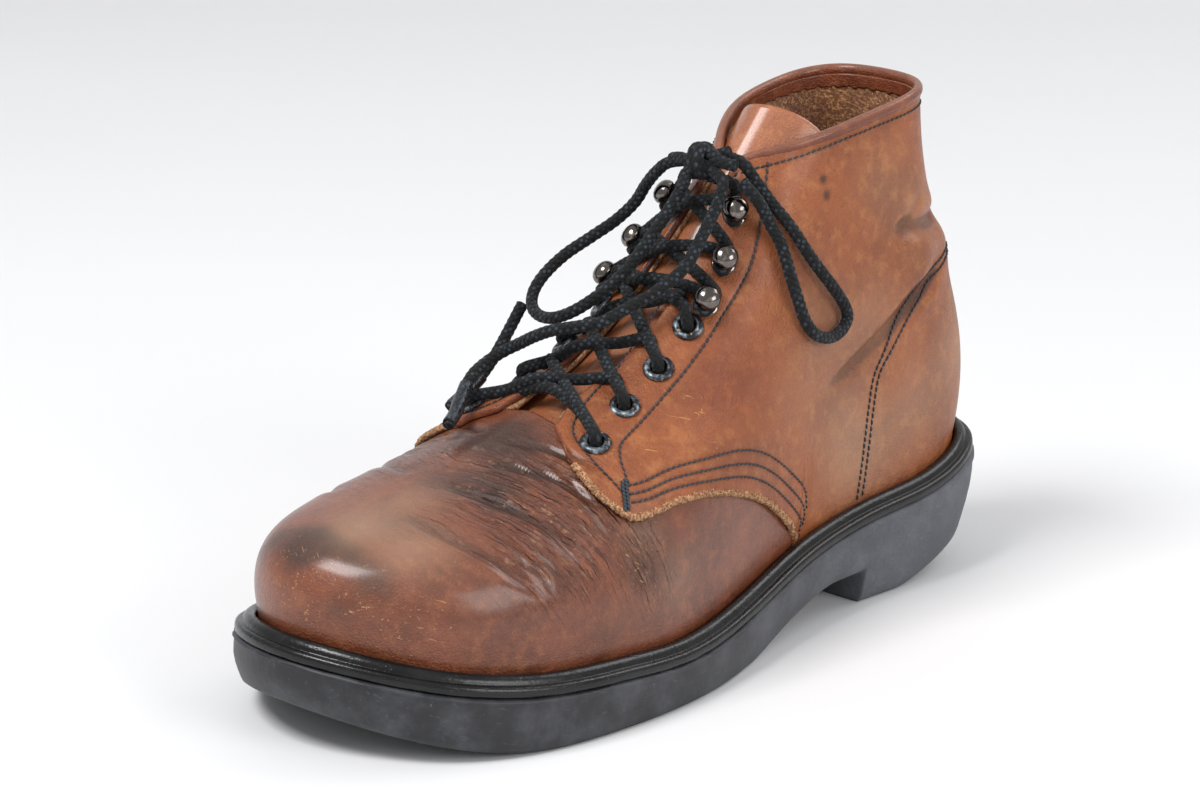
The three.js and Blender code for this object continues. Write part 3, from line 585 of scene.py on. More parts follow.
def tube_mesh(name, parts, materials):
    """Joins several (grid, uv) tubes, each closed round and capped at both ends, in one mesh."""
    points, faces, uvs, start = [], [], [], 0
    for grid, uv in parts:
        rows, columns = grid.shape[:2]
        seam_grid = np.concatenate([grid, grid[:, :1]], 1)
        seam_uv = np.concatenate([uv, uv[:, :1] + [1, 0]], 1)
        caps = np.stack([grid[0].mean(0), grid[-1].mean(0)])
        block = np.concatenate([seam_grid.reshape(-1, 3), caps])
        block_uv = np.concatenate([seam_uv.reshape(-1, 2), seam_uv[[0, -1], columns // 2]])
        quads = grid_faces(rows, columns + 1)[:, ::-1]
        j = np.arange(columns)
        first = np.full(columns, rows * (columns + 1))
        cap_a = np.stack([first, j, j + 1, j + 1], -1)
        last = (rows - 1) * (columns + 1) + j
        cap_b = np.stack([first + 1, last + 1, last, last], -1)
        points.append(block)
        uvs.append(block_uv)
        faces.append((quads + start, cap_a[:, :3] + start, cap_b[:, :3] + start))
        start += len(block)
    points, uvs = np.concatenate(points), np.concatenate(uvs)
    quads = np.concatenate([f[0] for f in faces])
    caps = np.concatenate([np.concatenate(f[1:]) for f in faces])
    mesh = bpy.data.meshes.new(name)
    mesh.from_pydata(((points + SHIFT) * 0.001).tolist(), [], quads.tolist() + caps.tolist())
    layer = mesh.uv_layers.new(name="surface")
    loops = np.concatenate([quads.ravel(), caps.ravel()])
    layer.data.foreach_set("uv", uvs[loops].astype(np.float32).ravel())
    for material in materials:
        mesh.materials.append(material)
    work = bmesh.new()
    work.from_mesh(mesh)
    bmesh.ops.remove_doubles(work, verts=work.verts, dist=1e-6)
    bmesh.ops.recalc_face_normals(work, faces=work.faces)
    work.to_mesh(mesh)
    work.free()
    return add_piece(name, mesh)


# ---- finishes -----------------------------------------------------------------------------------
class Finish:
    """A material under construction. Sizes of patterns are given in mm."""

    def __init__(self, name, coordinate="Object"):
        self.material = bpy.data.materials.new(name)
        self.material.use_nodes = True
        self.tree = self.material.node_tree
        self.surface = self.tree.nodes["Principled BSDF"]
        place = self.node("TexCoord").outputs[coordinate]
        size = 1000 if coordinate == "Object" else 1
        self.place = self.node("Mapping", Vector=place, Scale=(size,) * 3).outputs["Vector"]

    def put(self, socket, value):
        """Links or sets one input; a colour of three numbers gets its alpha."""
        if isinstance(value, bpy.types.NodeSocket):
            self.tree.links.new(value, socket)
        elif socket.type == "RGBA" and len(value) == 3:
            socket.default_value = (*value, 1)
        else:
            socket.default_value = value

    def node(self, kind, **inputs):
        """A new node with the given inputs; an underscore in an input's name stands for a space."""
        node = self.tree.nodes.new("ShaderNode" + kind)
        for key, value in inputs.items():
            self.put(node.inputs[key.replace("_", " ")], value)
        return node

    def set(self, **values):
        """Inputs of the surface itself."""
        for key, value in values.items():
            self.put(self.surface.inputs[key.replace("_", " ")], value)

    def math(self, operation, a, b=0.0, clamp=False):
        """One sum of two values; some operations use only the first."""
        node = self.node("Math")
        node.operation = operation
        node.use_clamp = clamp
        self.put(node.inputs[0], a)
        self.put(node.inputs[1], b)
        return node.outputs[0]

    def times(self, a, b, clamp=False):
        return self.math("MULTIPLY", a, b, clamp)

    def plus(self, a, b, clamp=False):
        return self.math("ADD", a, b, clamp)

    def noise(self, size, detail=3.0, rough=0.55, offset=0.0, place=None, colour=False):
        """Cloudy noise whose cells are about size mm across."""
        place = place or self.place
        if offset:
            place = self.node("Mapping", Vector=place, Location=(offset,) * 3).outputs["Vector"]
        node = self.node("TexNoise", Vector=place, Scale=1 / size, Detail=detail, Roughness=rough)
        return node.outputs["Color" if colour else "Fac"]

    def lines(self, size, angles, stretch, detail=2.0, rough=0.6):
        """Noise drawn out into lines along a turned axis."""
        turned = self.node("Mapping", Vector=self.place)
        turned.vector_type = "TEXTURE"
        turned.inputs["Rotation"].default_value = angles
        turned.inputs["Scale"].default_value = stretch
        return self.noise(size, detail, rough, place=turned.outputs["Vector"])

    def cells(self, size, place=None):
        """Distance from the nearest border between cells about size mm across."""
        node = self.node("TexVoronoi", Vector=place or self.place, Scale=1 / size)
        node.feature = "DISTANCE_TO_EDGE"
        return node.outputs["Distance"]

    def band(self, value, low, high):
        """0 below low, 1 above high, smooth between."""
        node = self.node("MapRange", Value=value, From_Min=low, From_Max=high)
        node.interpolation_type = "SMOOTHSTEP"
        return node.outputs["Result"]

    def mix(self, amount, a, b):
        """Colour a turned into b by an amount from 0 to 1."""
        node = self.node("Mix")
        node.data_type = "RGBA"
        for index, value in ((0, amount), (6, a), (7, b)):
            self.put(node.inputs[index], value)
        return node.outputs[2]

    def attribute(self, name):
        """What was painted on the piece under that name."""
        node = self.node("Attribute")
        node.attribute_name = name
        return node

    def marks(self):
        """The piece's own painted marks: dark, scuffed, red, pale."""
        painted = self.attribute("marks")
        split = self.node("SeparateColor", Color=painted.outputs["Color"])
        return (*split.outputs[:3], painted.outputs["Alpha"])

    def wrinkles(self, across, along, warp):
        """Long narrow islands parted by fine grooves, laid on the piece's own coordinates."""
        shake = self.node("VectorMath")
        shake.operation = "MULTIPLY_ADD"
        self.put(shake.inputs[0], self.noise(9, 3, 0.6, colour=True))
        self.put(shake.inputs[1], (warp, warp, 0))
        self.put(shake.inputs[2], self.node("TexCoord").outputs["UV"])
        scaled = self.node("Mapping", Vector=shake.outputs[0], Scale=(1 / across, 1 / along, 1))
        return self.band(self.cells(1, scaled.outputs["Vector"]), 0.0, 0.3)

    def bump(self, *layers):
        """Bump layers as (height, depth in mm), laid one on another."""
        last = None
        for value, depth in layers:
            node = self.node("Bump", Strength=1.0, Distance=depth * 0.001, Height=value)
            if last:
                self.put(node.inputs["Normal"], last)
            last = node.outputs["Normal"]
        self.set(Normal=last)


def rgb(text):
    """Linear colour from a six-digit sRGB one."""
    values = [int(text[i:i + 2], 16) / 255 for i in (0, 2, 4)]
    return tuple(v / 12.92 if v <= 0.04045 else ((v + 0.055) / 1.055) ** 2.4 for v in values)


# The grime colour also serves as painted shade, the dust colour also as painted light, and the crest colour
# is a painted highlight.
WORN_RED, GRIME_AND_SHADE, DUST_AND_LIGHT = rgb("6b2f1c"), rgb("2a1b15"), rgb("b89b80")
CREST_HIGHLIGHT, BARE = rgb("c9a98c"), rgb("c2935f")


def leather_finish(name, main, deep, light, dark, gloss, shine=0.36, wrinkled=True):
    """Oiled leather: clouded colour, grain pores, wrinkles where it flexes, scuffs and scratches."""
    f = Finish(name)
    grime_and_shade, scuff, red, pale = f.marks()
    clouds = f.noise(26, 4, 0.6)
    blots = f.noise(5, 4, 0.65, offset=40)
    speck = f.noise(1.5, 5, 0.75, offset=80)
    streak = f.lines(3.2, (0.2, 1.1, 0.5), (5, 1, 1), 4)
    colour = f.mix(f.band(clouds, 0.35, 0.65), main, deep)
    colour = f.mix(f.times(f.band(blots, 0.45, 0.72), 0.5), colour, light)
    colour = f.mix(f.times(f.band(speck, 0.48, 0.75), 0.3), colour, dark)
    colour = f.mix(f.times(f.band(streak, 0.5, 0.75), 0.35), colour, deep)
    colour = f.mix(f.times(red, f.band(blots, 0.3, 0.6)), colour, f.mix(0.65, colour, WORN_RED))
    # Dark marks: grime, and painted shade in the creases' troughs and along the stitch rows, turned towards
    # the grime colour.
    dirt_and_painted_shading = f.plus(grime_and_shade, f.times(f.math("SUBTRACT", blots, 0.5), 0.9))
    colour = f.mix(f.times(f.band(dirt_and_painted_shading, 0.15, 0.95), 0.8), colour, GRIME_AND_SHADE)
    # Pale marks: dust, and painted light on the creases' ridges, low on the outer quarter and on the top of
    # the collar roll.
    colour = f.mix(f.times(pale, 0.6), colour, f.mix(0.6, colour, DUST_AND_LIGHT))
    hairs = (f.lines(1.1, (0.5, 0.2, 0.9), (14, 1, 1)), f.lines(0.9, (-0.3, 0.4, -0.5), (18, 1, 1)))
    scratch = f.math("MAXIMUM", f.band(hairs[0], 0.66, 0.69), f.band(hairs[1], 0.67, 0.70))
    where = f.band(f.plus(f.noise(9, 2, 0.5, offset=17), f.times(scuff, 0.5)), 0.60, 0.85)
    chips = f.times(f.band(f.noise(1.6, 5, 0.75, offset=5), 0.63, 0.67), f.band(scuff, 0.3, 0.9))
    worn = f.math("MAXIMUM", f.times(scratch, where), f.times(chips, 0.8))
    layers = [(f.band(f.cells(1.15), 0.0, 0.25), 0.1), (f.noise(2.4, 5, 0.68), 0.45),
              (f.noise(11, 3, 0.6, offset=3), 0.9)]
    if wrinkled:
        flex = f.attribute("flex").outputs["Fac"]
        broad, fine = f.wrinkles(2.7, 30, 3.5), f.wrinkles(1.5, 14, 3)
        # Painted shade: the furrows of the broad wrinkles are darkened.
        furrow_shade = f.times(f.math("SUBTRACT", 1.0, broad), flex)
        colour = f.mix(f.times(furrow_shade, 0.42), colour, dark)
        # Painted highlight: the crests of the fine wrinkles are made paler.
        crest_highlight = f.times(f.times(f.band(f.noise(3, 4, 0.7, offset=9), 0.5, 0.7), flex), fine)
        colour = f.mix(f.times(crest_highlight, 0.5), colour, f.mix(0.5, light, CREST_HIGHLIGHT))
        layers += [(f.times(broad, flex), 1.0), (f.times(fine, flex), 0.42)]
    colour = f.mix(f.times(worn, 0.7), colour, BARE)
    rough = f.plus(shine, f.times(blots, 0.22))
    for amount, share in ((worn, 0.25), (f.band(dirt_and_painted_shading, 0.2, 0.9), 0.08), (pale, 0.12)):
        rough = f.plus(rough, f.times(amount, share))
    f.set(Base_Color=colour, Roughness=rough, Specular_IOR_Level=0.36, Coat_Weight=gloss, Coat_Roughness=0.2)
    f.bump(*layers, (worn, -0.08))
    return f.material


def suede_finish(name, base, fibre):
    """Flesh side of the leather: short matted fibres, dark between, tan at the tips."""
    f = Finish(name)
    strands = f.lines(0.9, (0.7, 0.3, 0.5), (4, 1, 1), 4, 0.7)
    cross = f.lines(0.9, (-0.6, 0.9, -0.4), (4, 1, 1), 4, 0.7)
    tips = f.math("MAXIMUM", strands, cross)
    colour = f.mix(f.band(tips, 0.50, 0.68), base, fibre)
    colour = f.mix(f.times(f.band(f.noise(7, 3), 0.4, 0.7), 0.4), colour, tuple(0.4 * v for v in base))
    f.set(Base_Color=colour, Roughness=0.95, Sheen_Weight=0.2)
    f.bump((tips, 2.2), (f.noise(3, 3), 0.8))
    return f.material


def raw_edge_finish():
    """Cut edge of the leather: loose pale fibres."""
    f = Finish("raw_cut_edge")
    fibres = f.noise(0.9, 5, 0.8)
    f.set(Base_Color=f.mix(f.band(fibres, 0.35, 0.65), rgb("6f3f20"), rgb("e8b588")), Roughness=0.9)
    f.bump((fibres, 0.5), (f.noise(1.4, 2), 0.4))
    return f.material


def rubber_finish(name, base, dust, gloss, dusty, painted_heel_light):
    """Moulded black rubber: faint swirls, scuffs that run along it and pale dust in patches."""
    f = Finish(name)
    clouds = f.noise(14, 4, 0.6)
    fine = f.noise(1.1, 3, 0.7)
    scrape = f.lines(1.2, (0.1, 0.2, 1.3), (14, 1, 1))
    length = f.node("SeparateXYZ", Vector=f.place).outputs[1]
    dirt_and_painted_shading = f.times(f.band(clouds, 0.35, 0.75), dusty)
    dirt_and_painted_shading = f.plus(dirt_and_painted_shading, f.times(f.band(scrape, 0.60, 0.72), 0.5 * dusty), True)
    # Painted light: the rubber is made paler towards the heel, in place of the light falling on the heel's
    # side.
    dirt_and_painted_shading = f.plus(dirt_and_painted_shading, f.times(f.band(length, -60, 110), painted_heel_light), True)
    dirt_and_painted_shading = f.times(dirt_and_painted_shading, f.plus(0.55, f.times(fine, 0.9)), True)
    nicks = f.band(f.noise(1.6, 4, 0.7, offset=31), 0.69, 0.72)
    dirt_and_painted_shading = f.math("MAXIMUM", dirt_and_painted_shading, f.times(nicks, 0.9))
    f.set(Base_Color=f.mix(dirt_and_painted_shading, base, dust), Roughness=f.plus(gloss, f.times(dirt_and_painted_shading, 0.35)),
          Specular_IOR_Level=0.4)
    f.bump((fine, 0.05), (f.noise(4, 3), 0.18), (f.band(scrape, 0.6, 0.72), -0.04))
    return f.material


def enamel_finish():
    """Black enamel on brass, rubbed through in chips."""
    f = Finish("eyelet_enamel")
    chips = f.band(f.noise(1.5, 4, 0.65), 0.60, 0.66)
    grey = f.mix(f.band(f.noise(2.4, 3, 0.6, offset=3), 0.45, 0.7), rgb("23272d"), rgb("8a949c"))
    f.set(Base_Color=f.mix(chips, grey, rgb("c9a052")), Metallic=f.plus(0.55, f.times(chips, 0.4)),
          Roughness=f.plus(0.22, f.times(f.noise(0.8, 3), 0.3)))
    f.bump((chips, -0.05), (f.noise(0.6, 2), 0.03))
    return f.material


def gunmetal_finish():
    """Dark plated steel, rubbed brighter in places."""
    f = Finish("hook_gunmetal")
    rub = f.band(f.noise(2.2, 4, 0.6), 0.5, 0.75)
    f.set(Base_Color=f.mix(rub, rgb("6d6865"), rgb("b5a595")), Metallic=1.0,
          Roughness=f.plus(0.14, f.times(rub, 0.16)))
    f.bump((f.noise(0.5, 3), 0.02))
    return f.material


def braid_finish(name, dark, fleck):
    """Woven cord on the piece's own UV: diamonds where the two sets of strands cross, some with a fleck."""
    f = Finish(name, "UV")
    split = f.node("SeparateXYZ", Vector=f.place)
    around = f.times(split.outputs[0], BRAID_TURNS)
    a = f.plus(around, split.outputs[1])
    b = f.math("SUBTRACT", around, split.outputs[1])

    def wave(value, turns):
        return f.math("ABSOLUTE", f.math("SINE", f.times(value, turns * math.pi)))
    weave = f.times(wave(a, 1), wave(b, 1))
    cell = f.node("CombineXYZ", X=f.math("FLOOR", f.math("MODULO", a, 173.0)),
                  Y=f.math("FLOOR", f.math("MODULO", b, 151.0)))
    chance = f.node("TexWhiteNoise", Vector=cell.outputs[0])
    lit = f.band(chance.outputs["Value"], 0.35, 1.0)
    f.set(Base_Color=f.mix(f.times(lit, f.band(weave, 0.2, 0.9)), dark, fleck), Roughness=0.75,
          Sheen_Weight=0.06, Specular_IOR_Level=0.3)
    f.bump((weave, 0.35), (wave(a, 3), 0.08))
    return f.material


def thread_finish():
    """Dark twisted sewing thread."""
    f = Finish("thread_navy")
    twist = f.lines(0.35, (0.4, 0.3, 0.8), (3, 1, 1))
    f.set(Base_Color=f.mix(twist, rgb("0f141a"), rgb("34424c")), Roughness=0.6)
    f.bump((twist, 0.12))
    return f.material


def tip_finish():
    """Lacquer on the lace's ends, worn in places."""
    f = Finish("lace_tip_lacquer")
    wear = f.noise(1.2, 3, 0.6)
    f.set(Base_Color=f.mix(f.band(wear, 0.4, 0.7), rgb("15171b"), rgb("3a4048")),
          Roughness=f.plus(0.16, f.times(wear, 0.2)))
    f.bump((f.lines(0.7, (0.5, 0.5, 0.8), (5, 1, 1)), 0.25))
    return f.material


def floor_finish():
    """Even pale ground."""
    f = Finish("pale_floor")
    f.set(Base_Color=f.mix(f.noise(300, 2), (0.765, 0.765, 0.77), (0.79, 0.79, 0.795)), Roughness=0.6)
    return f.material


LOOKS = {}
COLOURS = {"quarter": ("Quarters", "96522b"), "vamp": ("Vamp", "7b4229"), "tongue": ("Tongue", "a55c33"),
           "rim": ("Collar roll", "7d3d22"), "lining": ("Lining", "905430"), "sole": ("Outsole", "252529"),
           "welt": ("Welt", "09090a"), "lace": ("Lace", "08090b")}
# Each finish: maker, name, the main colour's key, the other colours, then the maker's own numbers.
FINISHES = {
    "quarter": (leather_finish, "quarter_leather", "quarter", ("7f4324", "b47543", "462210"), 0.16),
    "vamp": (leather_finish, "vamp_leather", "vamp", ("64341f", "985a36", "33190f"), 0.5, 0.32),
    "tongue": (leather_finish, "tongue_leather", "tongue", ("914d29", "c07a48", "5c2f19"), 0.8, 0.26, False),
    "rim": (leather_finish, "rim_leather", "rim", ("67311c", "9b5a36", "3c1f13"), 0.4, 0.32, False),
    "suede": (suede_finish, "lining_suede", "lining", ("f5b878",)),
    "insole": (suede_finish, "insole_suede", "3f281c", ("7d5a3c",)),
    "outsole": (rubber_finish, "sole_rubber", "sole", ("6a6b71",), 0.46, 0.35, 0.5),
    "welt": (rubber_finish, "welt_rubber", "welt", ("343436",), 0.24, 0.2, 0.1),
    "lace": (braid_finish, "lace_braid", "lace", ("363f49",)),
    "raw": (raw_edge_finish,), "enamel": (enamel_finish,), "gunmetal": (gunmetal_finish,),
    "thread": (thread_finish,), "tip": (tip_finish,), "floor": (floor_finish,),
}


def look(name):
    """Finish by name, made once."""
    if name not in LOOKS:
        maker, *settings = FINISHES[name]
        if settings:
            title, main, others, *numbers = settings
            main = tuple(getattr(bpy.context.scene.boot_colours, main)) if main in COLOURS else rgb(main)
            settings = (title, main, *(rgb(text) for text in others), *numbers)
        LOOKS[name] = maker(*settings)
    return LOOKS[name]


# ---- painted marks: (channel, (station, height), radius mm, strength) ------------------------------
DARK, SCUFF, RED, PALE = range(4)
MARKS = [
    (DARK, (14.0, 0.40), 8, 0.75), (DARK, (14.0, 0.55), 7, 0.7), (DARK, (13.7, 0.5), 6, 0.55),
    (DARK, (13.26, 0.49), 6, 0.6), (DARK, (12.95, 0.40), 6, 0.4), (DARK, (12.74, 0.3), 7, 0.5),
    (DARK, (13.24, 0.17), 7, 0.5), (DARK, (14.6, 0.45), 8, 0.6), (DARK, (15.0, 0.3), 9, 0.5),
    (DARK, (11.62, 0.93), 7, 0.55), (DARK, (11.24, 0.68), 6, 0.6), (DARK, (11.3, 0.85), 8, 0.35),
    (DARK, (11.0, 1.0), 12, 0.5), (DARK, (10.64, 0.95), 12, 0.55), (DARK, (10.6, 0.83), 10, 0.4),
    (DARK, (11.24, 0.76), 9, 0.35), (DARK, (10.9, 0.74), 9, 0.3),
    (DARK, (10.14, 0.06), 9, 0.35), (DARK, (9.78, 0.24), 7, 0.45), (DARK, (17.2, 0.9), 12, 0.4),
    (DARK, (16.5, 0.85), 8, 0.4), (DARK, (13.84, 0.03), 6, 0.4), (DARK, (12.7, 0.03), 6, 0.3),
    (PALE, (12.78, 0.72), 12, 0.5), (PALE, (12.12, 0.56), 10, 0.6), (PALE, (13.8, 0.74), 10, 0.4),
    (PALE, (13.0, 0.95), 12, 0.3), (PALE, (9.56, 0.33), 8, 0.5), (PALE, (9.0, 0.14), 10, 0.4),
    (PALE, (11.9, 0.9), 10, 0.4),
    (SCUFF, (13.6, 0.22), 12, 0.8), (SCUFF, (12.54, 0.06), 9, 1.0), (SCUFF, (12.1, 0.22), 9, 0.9),
    (SCUFF, (14.2, 0.3), 10, 0.6), (SCUFF, (9.7, 0.24), 9, 0.7), (SCUFF, (12.9, 0.2), 8, 0.6),
    (RED, (7.3, 0.45), 15, 1.0), (RED, (8.2, 0.52), 12, 0.8), (RED, (11.2, 0.5), 16, 0.3),
    (SCUFF, (8.5, 0.56), 9, 1.0), (SCUFF, (8.2, 0.36), 6, 1.0), (SCUFF, (9.2, 0.52), 7, 0.8),
    # The pale spots low on the outer quarter, at heights up to 0.3, are painted light that makes the lower
    # quarter lighter.
    (PALE, (4.24, 0.08), 18, 0.8), (PALE, (5.2, 0.2), 16, 0.15), (PALE, (3.8, 0.42), 14, 0.5),
    (PALE, (5.0, 0.39), 14, 0.4), (PALE, (2.2, 0.72), 12, 0.5),
    (PALE, (1.7, 0.25), 16, 0.9), (PALE, (3.0, 0.15), 16, 0.7), (PALE, (4.6, 0.16), 16, 0.55),
    (PALE, (6.0, 0.3), 16, 0.3), (PALE, (3.2, 0.8), 14, 0.35), (DARK, (6.4, 0.7), 16, 0.25),
    (PALE, (5.6, 0.52), 14, 0.35), (PALE, (12.6, 0.5), 8, 0.4), (PALE, (13.4, 0.62), 7, 0.5),
    (DARK, (4.9, 0.88), 1.8, 1.0), (DARK, (4.86, 0.83), 2.0, 1.0),
]


def spot(points, a, h, radius):
    """A round soft spot about a point of the last, exp(-(d/radius)^2)."""
    return np.exp(-np.sum((points - form(a, h)) ** 2, axis=-1) / radius ** 2)


def paint(points, rise):
    """Marks at each point: spots set by hand, troughs of the creases darker and their ridges paler."""
    out = unmarked(points)
    for channel, (a, h), radius, strength in MARKS:
        out[..., channel] += strength * spot(points, a, h, radius)
    # Painted shade in the creases' troughs, painted highlight on their ridges.
    out[..., DARK] += 0.6 * smooth(-rise / 1.1)
    out[..., PALE] += 0.08 * smooth(rise / 1.6)
    return np.clip(out, 0, 1)


# Where walking wrinkles the leather: (centre (station, height), radius mm, strength)
FLEX = [((11.1, 0.8), 16, 0.9), ((10.9, 0.62), 17, 1.0), ((11.1, 0.42), 14, 0.8), ((10.6, 0.34), 12, 0.7),
        ((10.2, 0.6), 14, 0.8), ((9.8, 0.3), 13, 0.7), ((9.4, 0.17), 10, 0.5), ((11.9, 0.7), 9, 0.35),
        ((3.0, 0.55), 14, 0.4), ((4.6, 0.36), 16, 0.3)]


def flex_marks(points):
    """How much the leather wrinkles at each point, alike on both sides."""
    out = np.zeros(points.shape[:-1])
    for (a, h), radius, strength in FLEX:
        for station in (a, STATIONS - a):
            out += strength * spot(points, station, h, radius)
    return np.clip(out, 0, 1)


def leather_uv(a, h):
    """Own coordinates in mm: across the way the wrinkles run, and along them; alike on both sides."""
    return np.stack([26 * (from_heel(a) + 1.9 * (0.86 - h)), 95 * h], -1)


# ---- the upper ----------------------------------------------------------------------------------
LAP = 2.2
QUARTER_WALL = 1.9
ROLL_ACROSS, ROLL_HIGH = 1.6, 2.0
TAPE_DEPTH = 0.028
HOLE_RADIUS = 3.0
FACING_FADE = 0.35
FACING_END, FACING_DIP = 9.9, 0.035
SIDES = ("outer", "inner")


def quarter_lift(a, h):
    """Rise of the quarters over the vamp under them, faded out where no vamp lies beneath."""
    near = 1 - smooth((h - np.interp(from_heel(a), *DERBY_CURVE.T) - 0.1) / 0.16)
    front = smooth((from_heel(a) - 5.4) / 0.5)
    facing_end = smooth((from_heel(a) - 9.2) / 0.6)
    return LAP * np.maximum(near * front, facing_end) * smooth(h / 0.05)


def fastener_places():
    """(inner side, number from the throat up, station, height) of every eyelet and hook."""
    return [(inner, i, np.array(STATIONS - a if inner else a), np.array(h))
            for inner in (False, True) for i, (a, h) in enumerate(EYELETS + HOOKS)]


def facing_top(a):
    """Top of the quarters with the dip at the facing's lower corner."""
    return facing_height(a) - FACING_DIP * smooth((from_heel(a) - FACING_END) / FACING_FADE)


def fastener_axes(station, h):
    """Centre on the leather, the direction out of it and the direction across to the throat."""
    point, _ = leather(station, h, quarter_lift(station, h))
    out = normal(station, h)
    throat = form(station, h + 0.05) - form(station, h)
    throat = unit(throat - out * (throat @ out))
    return point, out, throat


def build_vamp():
    """Vamp: from the outer side round the toe to the inner side, closed over the instep."""
    half = np.concatenate([np.linspace(5.7, 9.6, 50, endpoint=False),
                           np.linspace(9.6, 12.3, 112, endpoint=False), np.linspace(12.3, TOE_STATION, 30)])
    a = np.concatenate([half, STATIONS - half[-2::-1]])
    side = from_heel(a)
    top = np.where(side > 10.4, 1.0, np.clip(np.interp(side, *VAMP_CURVE.T), 0, 1))
    t = np.linspace(0, 1, 78)
    h = np.concatenate([np.full((len(a), 1), -0.04), t[None, :] * top[:, None]], 1)
    grid_a = np.broadcast_to(a[:, None], h.shape)
    grid, rise = leather(grid_a, h, -0.1 + 0 * h)
    sheet("vamp", grid, ("vamp", "suede", "raw"), LEATHER, ["upper"], marks=paint(grid, rise), merge=0.02,
          flip=True, flex=flex_marks(grid), uv=leather_uv(grid_a, h))


def build_quarters():
    """Quarters: round the heel from facing to facing, lapped on the vamp, pierced for the eyelets."""
    half = np.concatenate([np.linspace(0, 5.8, 110, endpoint=False), np.linspace(5.8, 10.25, 90)])
    a = np.concatenate([-half[:0:-1], half])
    side = from_heel(a)
    bottom = np.where(side < 5.9, -0.04, np.interp(side, *DERBY_CURVE.T))
    top = facing_top(a)
    t = np.linspace(0, 1, 100)
    h = bottom[:, None] + (top - bottom)[:, None] * t[None, :]
    grid_a = np.broadcast_to(a[:, None], h.shape)
    pulled = sewn(form(grid_a, h))
    grid, rise = leather(grid_a, h, quarter_lift(grid_a, h) - SEWN_DEPTH * pulled)
    marks = paint(grid, rise)
    # Painted shade: darker along the stitch rows, where the leather is pulled in.
    marks[..., DARK] = np.clip(marks[..., DARK] + 0.45 * pulled, 0, 1)
    uv = leather_uv(grid_a, h)
    holes = np.array([fastener_axes(a, h)[0] for _, i, a, h in fastener_places() if i < len(EYELETS)])

    def keep(centres):
        return np.linalg.norm(centres[:, None, :] - holes[None], axis=2).min(1) > HOLE_RADIUS
    sheet("quarters", grid, ("quarter", "suede", "raw"), QUARTER_WALL, marks=marks, keep=keep, flip=True,
          flex=0.3 * flex_marks(grid), uv=uv)


def edge_bead(name, path, bulge, rag, kind):
    """The quarters' cut edge: a round bead along a line of (station, height), roughened at random."""
    a, h = path.T
    centre, _ = leather(a, h, quarter_lift(a, h) - QUARTER_WALL / 2)
    n = normal(a, h)
    along = unit(np.gradient(centre, axis=0))
    off = unit(np.cross(n, along))
    theta = np.linspace(0, 2 * np.pi, 14, endpoint=False)
    rng = np.random.default_rng(11)
    rough = 1 + rag * rng.normal(0, 1, (len(a), len(theta)))
    grid = centre[:, None] + (n[:, None] * (QUARTER_WALL * 0.56 * np.sin(theta))[None, :, None]
                              + off[:, None] * (bulge * np.cos(theta))[None, :, None]) * rough[..., None]
    piece = grid_piece(name, grid, [look(kind)], close_columns=True, marks=unmarked(grid))
    finish(outward_faces(piece, True), "upper_leather")


def build_cut_edges():
    """Cut edges of both quarters: fibrous along the lap on the vamp, burnished along the facing."""
    lap = evenly_on_form(DERBY_CURVE, 700)
    side = np.linspace(10.25, 6.7, 260)
    edge = np.stack([side, facing_top(side)], -1)
    facing = evenly_on_form(np.concatenate([[[10.25, 0.69], [10.26, 0.74]], edge]), 420)
    edges = (("lap", lap, 1.2, 0.2, "raw"), ("facing", facing, 0.45, 0.02, "rim"))
    for name in SIDES:
        for part, path, bulge, rag, kind in edges:
            line = np.stack([STATIONS - path[:, 0], path[:, 1]], -1) if name == "inner" else path
            edge_bead(f"{part}_edge_{name}", line, bulge, rag, kind)


def evenly_on_form(pairs, count):
    """count points evenly spaced along a line of (station, height)."""
    p = np.asarray(pairs, float)
    s = travelled(form(p[:, 0], p[:, 1]))
    return read_at(np.linspace(0, s[-1], count), s, p)


def build_facing_linings():
    """Second layer behind each facing, its raw edge showing past the quarter's."""
    for name in SIDES:
        side = np.linspace(6.35, 10.15, 90)
        a = STATIONS - side if name == "inner" else side
        top = np.minimum(facing_height(a) + 0.012, 1.0)
        low = np.interp(side, [6.3, 6.9, 7.7, 8.9, 9.6, 10.2], [0.86, 0.68, 0.64, 0.65, 0.63, 0.66])
        t = np.linspace(0, 1, 30)
        h = low[:, None] + (top - low)[:, None] * t[None, :]
        grid_a = np.broadcast_to(a[:, None], h.shape)
        grid, rise = leather(grid_a, h, quarter_lift(grid_a, h) - 2.25)
        if name == "inner":
            grid, rise = grid[::-1], rise[::-1]
        sheet(f"facing_lining_{name}", grid, ("suede", "suede", "raw"), 1.5, marks=paint(grid, rise),
              flip=True)


